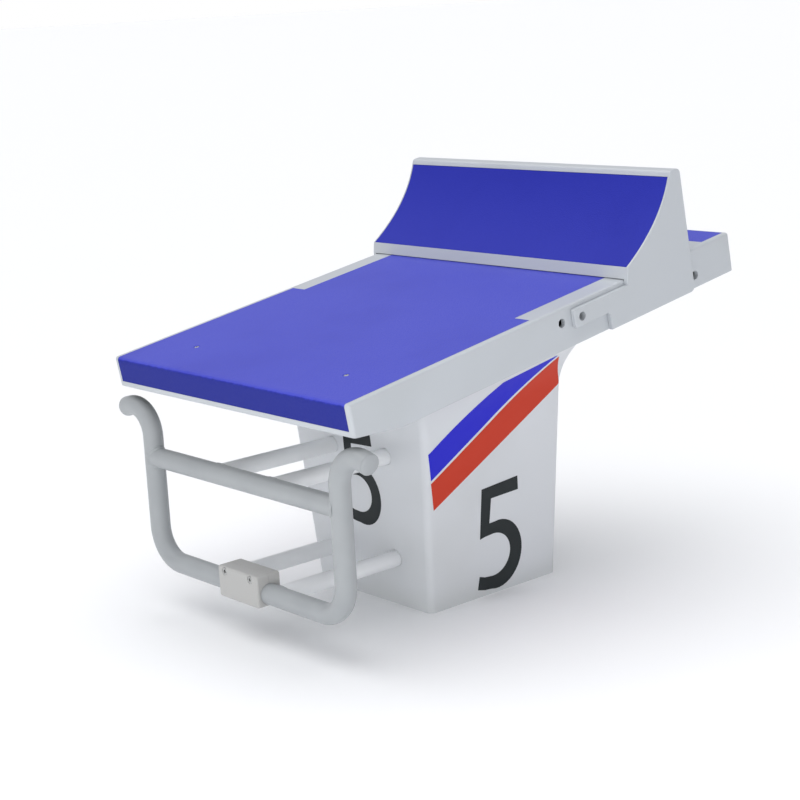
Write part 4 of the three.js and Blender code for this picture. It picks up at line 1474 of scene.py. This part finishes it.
@dataclass
class GripFrame:
    """The tube frame in front of the pedestal, with its supports, welds, caps and clamp block.

    The spans of the clamp's screws and holes are measured back from the frame's centre line.
    """

    finishes: Finishes
    reach: float = 357.0
    radius: float = 15.0
    wall: float = 2.0
    half: float = 220.25
    bar_height: float = 73.5
    bar_bend: float = 50.0
    bar_steps: int = 16
    crossbar_height: float = 230.5
    tip_start: float = 261.5
    tip_radius: float = 42.0
    tip_degrees: float = 105.0
    tip_steps: int = 20
    tip_straight: float = 11.0
    support_radius: float = 12.5
    support_x: float = 61.0
    support_end: float = -120.6
    saddle_least: float = 4.0
    weld_gap: float = 0.3
    bead: float = 2.6
    bead_ripple: float = 0.25
    cap_inset: float = 0.2
    cap_span: Pair = (0.3, 0.9)
    cap_dome: Outline = ((0.5, 0.9), (1.2, 0.9), (1.8, 0.85), (2.5, 0.75), (3.0, 0.45), (3.0, 0.2))
    plug_gap: float = 0.4
    plug_span: Pair = (-8.5, 0.5)
    clamp_width: float = 93.0
    clamp_top: float = 29.0
    clamp_bottom: float = 18.0
    clamp_depth: float = 42.0
    clamp_split: float = 0.15
    clamp_corner: float = 4.0
    clamp_edge: float = 0.5
    clamp_gap: float = 0.3
    clamp_bore: float = 200.0
    clamp_screw_x: float = 30.0
    hole_radius: float = 3.3
    hole_span: Pair = (-30.3, 14.3)
    sink_radius: float = 5.8
    sink_span: Pair = (-35.7, -15.7)
    head_radius: float = 5.5
    head_span: Pair = (-20.7, -16.0)
    head_edge: float = 0.35
    shank_radius: float = 3.0
    shank_span: Pair = (-16.5, 13.5)
    socket_radius: float = 2.6
    socket_span: Pair = (-22.0, -18.0)

    def build(self) -> None:
        """Makes the tubes, welds, caps and clamp."""
        self._bow()
        self._crossbar()
        self._supports()
        self._caps()
        self._clamp()

    def _seat(self, *nodes: str) -> Seat:
        """Gives the seat of a coated tube that stands for some nodes."""
        return Seat("block", "white_tube", FLOOR, nodes, 50)

    @property
    def _heading(self) -> float:
        """How far the end of a tip points above the level, in radians."""
        return math.radians(90 - self.tip_degrees)

    def _bow(self) -> None:
        """Models the bent tube.

        A ring is drawn out as half of the bar, a bend, a leg and a tip. Then it is mirrored and given its
        wall.
        """
        bpy.ops.mesh.primitive_circle_add(vertices=ROUND, radius=self.radius, rotation=Axis.ACROSS.value,
                                          location=(0, -self.reach, self.bar_height))
        bow = name_new("grip_bow")
        straight = self.half - self.bar_bend
        leg = self.tip_start - self.bar_height - self.bar_bend
        end = (self.tip_straight * math.cos(self._heading), 0, self.tip_straight * math.sin(self._heading))
        with editing(bow):
            bpy.ops.mesh.select_all(action="SELECT")
            bpy.ops.mesh.extrude_region_move(TRANSFORM_OT_translate={"value": (straight, 0, 0)})
            bpy.ops.mesh.spin(steps=self.bar_steps, angle=math.pi / 2, axis=(0, 1, 0),
                              center=(straight, -self.reach, self.bar_height + self.bar_bend))
            bpy.ops.mesh.extrude_region_move(TRANSFORM_OT_translate={"value": (0, 0, leg)})
            bpy.ops.mesh.spin(steps=self.tip_steps, angle=math.radians(self.tip_degrees), axis=(0, -1, 0),
                              center=(self.half + self.tip_radius, -self.reach, self.tip_start))
            bpy.ops.mesh.extrude_region_move(TRANSFORM_OT_translate={"value": end})
        apply(bow, "MIRROR", use_axis=(True, False, False), use_clip=True, merge_threshold=0.01)
        with editing(bow):
            bpy.ops.mesh.select_all(action="SELECT")
            bpy.ops.mesh.remove_doubles(threshold=0.005)
            bpy.ops.mesh.normals_make_consistent(inside=False)
        apply(bow, "SOLIDIFY", thickness=self.wall, offset=-1, use_even_offset=True)
        # The bow takes the coat greyed partly with painted shade.
        seat(bow, self.finishes.tube, self._seat("grip_tube"))

    def _tube(self, name: str, radius: float, axis: Axis, centre: Point, length: float) -> bpy.types.Object:
        """Models a straight tube as a rod with a bore through it.

        Args:
            name: The piece's name.
            radius: Its outer radius.
            axis: The way it points.
            centre: Its middle.
            length: Its length.

        Returns:
            The closed mesh object.
        """
        tube = start_rod(name, radius, axis, centre, length)
        bore = start_rod("bore", radius - self.wall, axis, centre, length + REACH)
        return combine(tube, "DIFFERENCE", bore)

    def _saddle(self, across: float) -> float:
        """Gives how far short of a bar's centre line a tube stops, at a distance across the bar."""
        return math.sqrt(max(self.radius ** 2 - across ** 2, self.saddle_least ** 2))

    def _crossbar(self) -> None:
        """Models the crossbar, shaped to the legs, and its weld on each leg."""
        centre = (0, -self.reach, self.crossbar_height)
        bar = self._tube("crossbar", self.radius, Axis.ACROSS, centre, self.half * 2)
        for vert in bar.data.vertices:
            short = self._saddle(vert.co.y + self.reach) + self.weld_gap
            vert.co.x -= math.copysign(short, vert.co.x)
        seat(bar, self.finishes.tube, self._seat("grip_crossbar"))
        for side in Side:
            self._bead(f"weld_leg_{side.word}", Axis.ACROSS, self.radius, centre,
                       Vector((side.value * self.half, 0, 0)), -side.value)

    def _supports(self) -> None:
        """Models the four supports, shaped to the bars, and their welds."""
        length = self.support_end + self.reach
        for word, height in (("upper", self.crossbar_height), ("lower", self.bar_height)):
            for side in Side:
                name = f"grip_support_{word}_{side.word}"
                x = side.value * self.support_x
                tube = self._tube(f"{name}_tube", self.support_radius, Axis.BACK,
                                  (x, self.support_end - length / 2, height), length)
                for vert in tube.data.vertices:
                    if vert.co.y < 1 - self.reach:
                        vert.co.y += self._saddle(vert.co.z - height) + self.weld_gap
                # The supports take the coat brightened with painted light, as they stand in the deck's
                # shadow.
                seat(tube, self.finishes.support, self._seat(name))
                self._bead(f"weld_{word}_{side.word}", Axis.BACK, self.support_radius, (x, 0, height),
                           Vector((0, -self.reach, 0)), 1)

    def _bead(self, name: str, axis: Axis, radius: float, centre: Point, shift: Vector, way: int) -> None:
        """Models the weld bead where a tube meets the side of a bar.

        Args:
            name: The piece's name.
            axis: The way the tube points. One that points across meets an upright bar, and one that points
                back meets a level bar.
            radius: The tube's radius.
            centre: The middle of the tube's round.
            shift: The place of the bar's centre line along the tube.
            way: The sign of the direction in which the tube leaves the bar.
        """
        bpy.ops.mesh.primitive_torus_add(major_segments=64, minor_segments=10, major_radius=radius,
                                         minor_radius=self.bead, location=centre, rotation=axis.value)
        bead = name_new(name)
        over, direction = (1, Vector((1, 0, 0))) if axis is Axis.ACROSS else (2, Vector((0, 1, 0)))
        for vert in bead.data.vertices:
            vert.co += shift + direction * way * self._saddle(vert.co[over] - Vector(centre)[over])
        with editing(bead):
            bpy.ops.mesh.select_all(action="SELECT")
            bpy.ops.transform.vertex_random(offset=self.bead_ripple, uniform=1.0, normal=0.0, seed=7)
        seat(bead, self.finishes.tube, self._seat())

    def _caps(self) -> None:
        """Models the domed cap of each tip: a disc, rounded over, with a plug in the tube."""
        turned = math.radians(self.tip_degrees)
        end = Vector((self.half + self.tip_radius * (1 - math.cos(turned)), -self.reach,
                      self.tip_start + self.tip_radius * math.sin(turned)))
        end += self.tip_straight * Vector((math.cos(self._heading), 0, math.sin(self._heading)))
        cap = stand_rod("cap", self.radius - self.cap_inset, self.cap_span)
        dome(cap, self.cap_dome)
        combine(cap, "UNION", stand_rod("plug", self.radius - self.wall - self.plug_gap, self.plug_span))
        cap.data.transform(Matrix.Translation(end) @ Matrix.Rotation(math.pi / 2 - self._heading, 4, "Y"))
        for side in reversed(Side):
            piece = copy_to_side(cap, f"grip_cap_{side.word}_dome", side)
            seat(piece, self.finishes.cap, Seat("block", "pale_polymer", FLOOR, (f"grip_cap_{side.word}",)))
        bpy.data.objects.remove(cap)

    def _clamp_rod(self, name: str, radius: float, span: Pair, x: float = 0.0,
                   sides: int = ROUND) -> bpy.types.Object:
        """Models a rod that points back through the clamp block at the height of its screws.

        Args:
            name: The piece's name.
            radius: Its radius.
            span: Where it starts and ends, back from the frame's centre line.
            x: Its place across the block.
            sides: How many flats stand for its round.

        Returns:
            The new mesh object.
        """
        centre = (x, sum(span) / 2 - self.reach, self.bar_height + (self.radius + self.clamp_top) / 2)
        return start_rod(name, radius, Axis.BACK, centre, span[1] - span[0], sides)

    def _clamp(self) -> None:
        """Models the two halves of the clamp block round the lowest bar, and their screws."""
        half = self.clamp_width / 2
        low, high = self.bar_height - self.clamp_bottom, self.bar_height + self.clamp_top
        for way, word in ((-1, "front"), (1, "rear")):
            near, far = sorted((way * self.clamp_split, way * self.clamp_depth / 2))
            outer = way * self.clamp_depth / 2 - self.reach
            block = start_box(f"clamp_{word}", (-half, near - self.reach, low),
                              (half, far - self.reach, high))
            with editing(block):
                round_picked(block, self.clamp_corner, 5,
                             lambda edge: both_ends(edge, lambda co: abs(co.y - outer) < NEAR)
                             or abs(edge.verts[0].co.y - edge.verts[1].co.y) > 5)
            tools = [start_rod("bore", self.radius + self.clamp_gap, Axis.ACROSS,
                               (0, -self.reach, self.bar_height), self.clamp_bore)]
            for side in Side:
                x = side.value * self.clamp_screw_x
                tools += [self._clamp_rod("hole", self.hole_radius, self.hole_span, x),
                          self._clamp_rod("sink", self.sink_radius, self.sink_span, x)]
            combine(block, "DIFFERENCE", *tools)
            round_edges(block, self.clamp_edge, 60)
            seat(block, self.finishes.pale, Seat("block", "pale_polymer", FLOOR, (f"clamp_block_{word}",)))
        screw = self._clamp_rod("screw", self.head_radius, self.head_span)
        combine(screw, "UNION", self._clamp_rod("shank", self.shank_radius, self.shank_span))
        combine(screw, "DIFFERENCE",
                self._clamp_rod("socket", self.socket_radius, self.socket_span, sides=HEXAGON))
        round_edges(screw, self.head_edge)
        for side in Side:
            name = f"clamp_screw_{side.word}"
            move = Matrix.Translation((side.value * self.clamp_screw_x, 0, 0))
            seat(copy_of(screw, f"{name}_head", move), self.finishes.stainless,
                 Seat("block", "stainless_fastener", FLOOR, (name,)))
        bpy.data.objects.remove(screw)


@dataclass
class HiddenWorks:
    """The steel frame, bolts, slide bars and glides, whose CAD shapes are right and only take a finish."""

    finishes: Finishes
    nodes: dict[str, bpy.types.Object]

    def build(self) -> None:
        """Dresses each node by the kind of piece that it is."""
        kinds = (
            (self.finishes.zinc,
             ("base_plate", "post_", "cross_beam_", "bearer_", "support_plate_", "lock_housing_")),
            (self.finishes.stainless, ("anchor_bolt_", "support_bolt_", "guide_bolt_")),
            (self.finishes.pale, ("slide_bar_", "glide_strip_")),
        )
        for name, node in self.nodes.items():
            for material, starts in kinds:
                if name.startswith(starts):
                    node.data.materials.clear()
                    node.data.materials.append(material)
                    LOG.info("dressed %s", name)


@dataclass
class Studio:
    """The pale floor, the soft lights, the sky and the camera at the photograph's viewing angle."""

    floor_size: float = 400.0
    floor_colour: str = "#fbfcfd"
    sky: Point = (0.48, 0.48, 0.50)
    sky_rise: Pair = (0.03, 0.09)
    camera_place: Point = (1.9993, -1.7630, 0.8759)
    camera_right: Point = (0.6569, 0.7521, -0.0526)
    camera_up: Point = (-0.1301, 0.1819, 0.9747)
    camera_back: Point = (0.7426, -0.6334, 0.2174)
    lens: float = 80.586
    sensor: float = 36.0

    def build(self) -> None:
        """Sets up the floor, the lights and the camera."""
        self._floor()
        self._sun("overhead", place=(-0.4, -0.2, 3.0), degrees=80.0, power=1.8)
        self._light("front right", place=(1.35, -1.35, 0.35), target=(0.1, -0.1, 0.2), size=1.2, power=7.0)
        self._light("front low", place=(0.1, -2.2, 0.25), target=(0.0, 0.0, 0.1), size=1.2, power=6.0)
        self._world()
        bpy.context.scene.view_settings.view_transform = "Standard"
        self._camera()

    def _world(self) -> None:
        """Surrounds the floor with a dim sky that is white only along the horizon, where the floor ends."""
        world = bpy.data.worlds.new("studio")
        world.use_nodes = True
        tree = world.node_tree
        direction = add_node(tree, "ShaderNodeTexCoord").outputs["Generated"]
        rise = add_node(tree, "ShaderNodeSeparateXYZ", {"Vector": direction}).outputs["Z"]
        low, high = self.sky_rise
        colour = add_node(tree, "ShaderNodeValToRGB", {"Fac": rise},
                          ((low, (1.0, 1.0, 1.0, 1.0)), (high, (*self.sky, 1.0)))).outputs["Color"]
        tree.links.new(colour, tree.nodes["Background"].inputs["Color"])
        bpy.context.scene.world = world

    def _floor(self) -> None:
        """Adds the plain pale floor."""
        bpy.ops.mesh.primitive_plane_add(size=self.floor_size)
        floor = name_new("floor")
        material, tree, place = new_material("pale studio floor")
        haze = add_node(tree, "ShaderNodeTexNoise", {"Vector": place, "Scale": 0.7}).outputs["Fac"]
        dull = add_node(tree, "ShaderNodeMapRange",
                        {"Value": haze, "To Min": 0.75, "To Max": 0.85}).outputs["Result"]
        close_material(tree, {"Base Color": linear(self.floor_colour), "Roughness": dull})
        floor.data.materials.append(material)

    def _sun(self, name: str, place: Point, degrees: float, power: float) -> None:
        """Adds a wide, soft sun that shines from a point towards the block and lights the whole floor.

        Args:
            name: The light's name.
            place: A point in its direction, in metres.
            degrees: How wide it is in the sky.
            power: Its power, in watts to the square metre.
        """
        bpy.ops.object.light_add(type="SUN", location=place)
        light = bpy.context.object
        light.name = name
        light.data.angle = math.radians(degrees)
        light.data.energy = power
        light.rotation_euler = Vector(place).to_track_quat("Z", "Y").to_euler()

    def _light(self, name: str, place: Point, target: Point, size: float, power: float) -> None:
        """Adds a square area light that faces a point.

        Args:
            name: The light's name.
            place: Where it hangs, in metres.
            target: The point that it faces.
            size: Its side, in metres.
            power: Its power, in watts.
        """
        bpy.ops.object.light_add(type="AREA", location=place)
        light = bpy.context.object
        light.name = name
        light.data.shape = "SQUARE"
        light.data.size = size
        light.data.energy = power
        light.rotation_euler = (Vector(place) - Vector(target)).to_track_quat("Z", "Y").to_euler()

    def _camera(self) -> None:
        """Adds the camera as it was fitted to the photograph."""
        bpy.ops.object.camera_add(location=self.camera_place)
        camera = bpy.context.object
        turn = Matrix((self.camera_right, self.camera_up, self.camera_back)).transposed()
        camera.rotation_euler = turn.to_euler()
        camera.data.lens = self.lens
        camera.data.sensor_width = self.sensor
        camera.data.sensor_fit = "HORIZONTAL"
        bpy.context.scene.camera = camera


def main() -> None:
    """Loads the frame, builds the studio and each sub-assembly in order."""
    logging.basicConfig(level=logging.INFO, format="%(name)s: %(message)s")
    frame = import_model()
    Studio().build()
    finishes = Finishes()
    for part in (Deck(finishes), Pedestal(finishes), Footrest(finishes), GripFrame(finishes),
                 HiddenWorks(finishes, frame["nodes"])):
        LOG.info("building %s", type(part).__name__)
        part.build()
    bpy.context.view_layer.update()


if __name__ == "__main__":
    main()
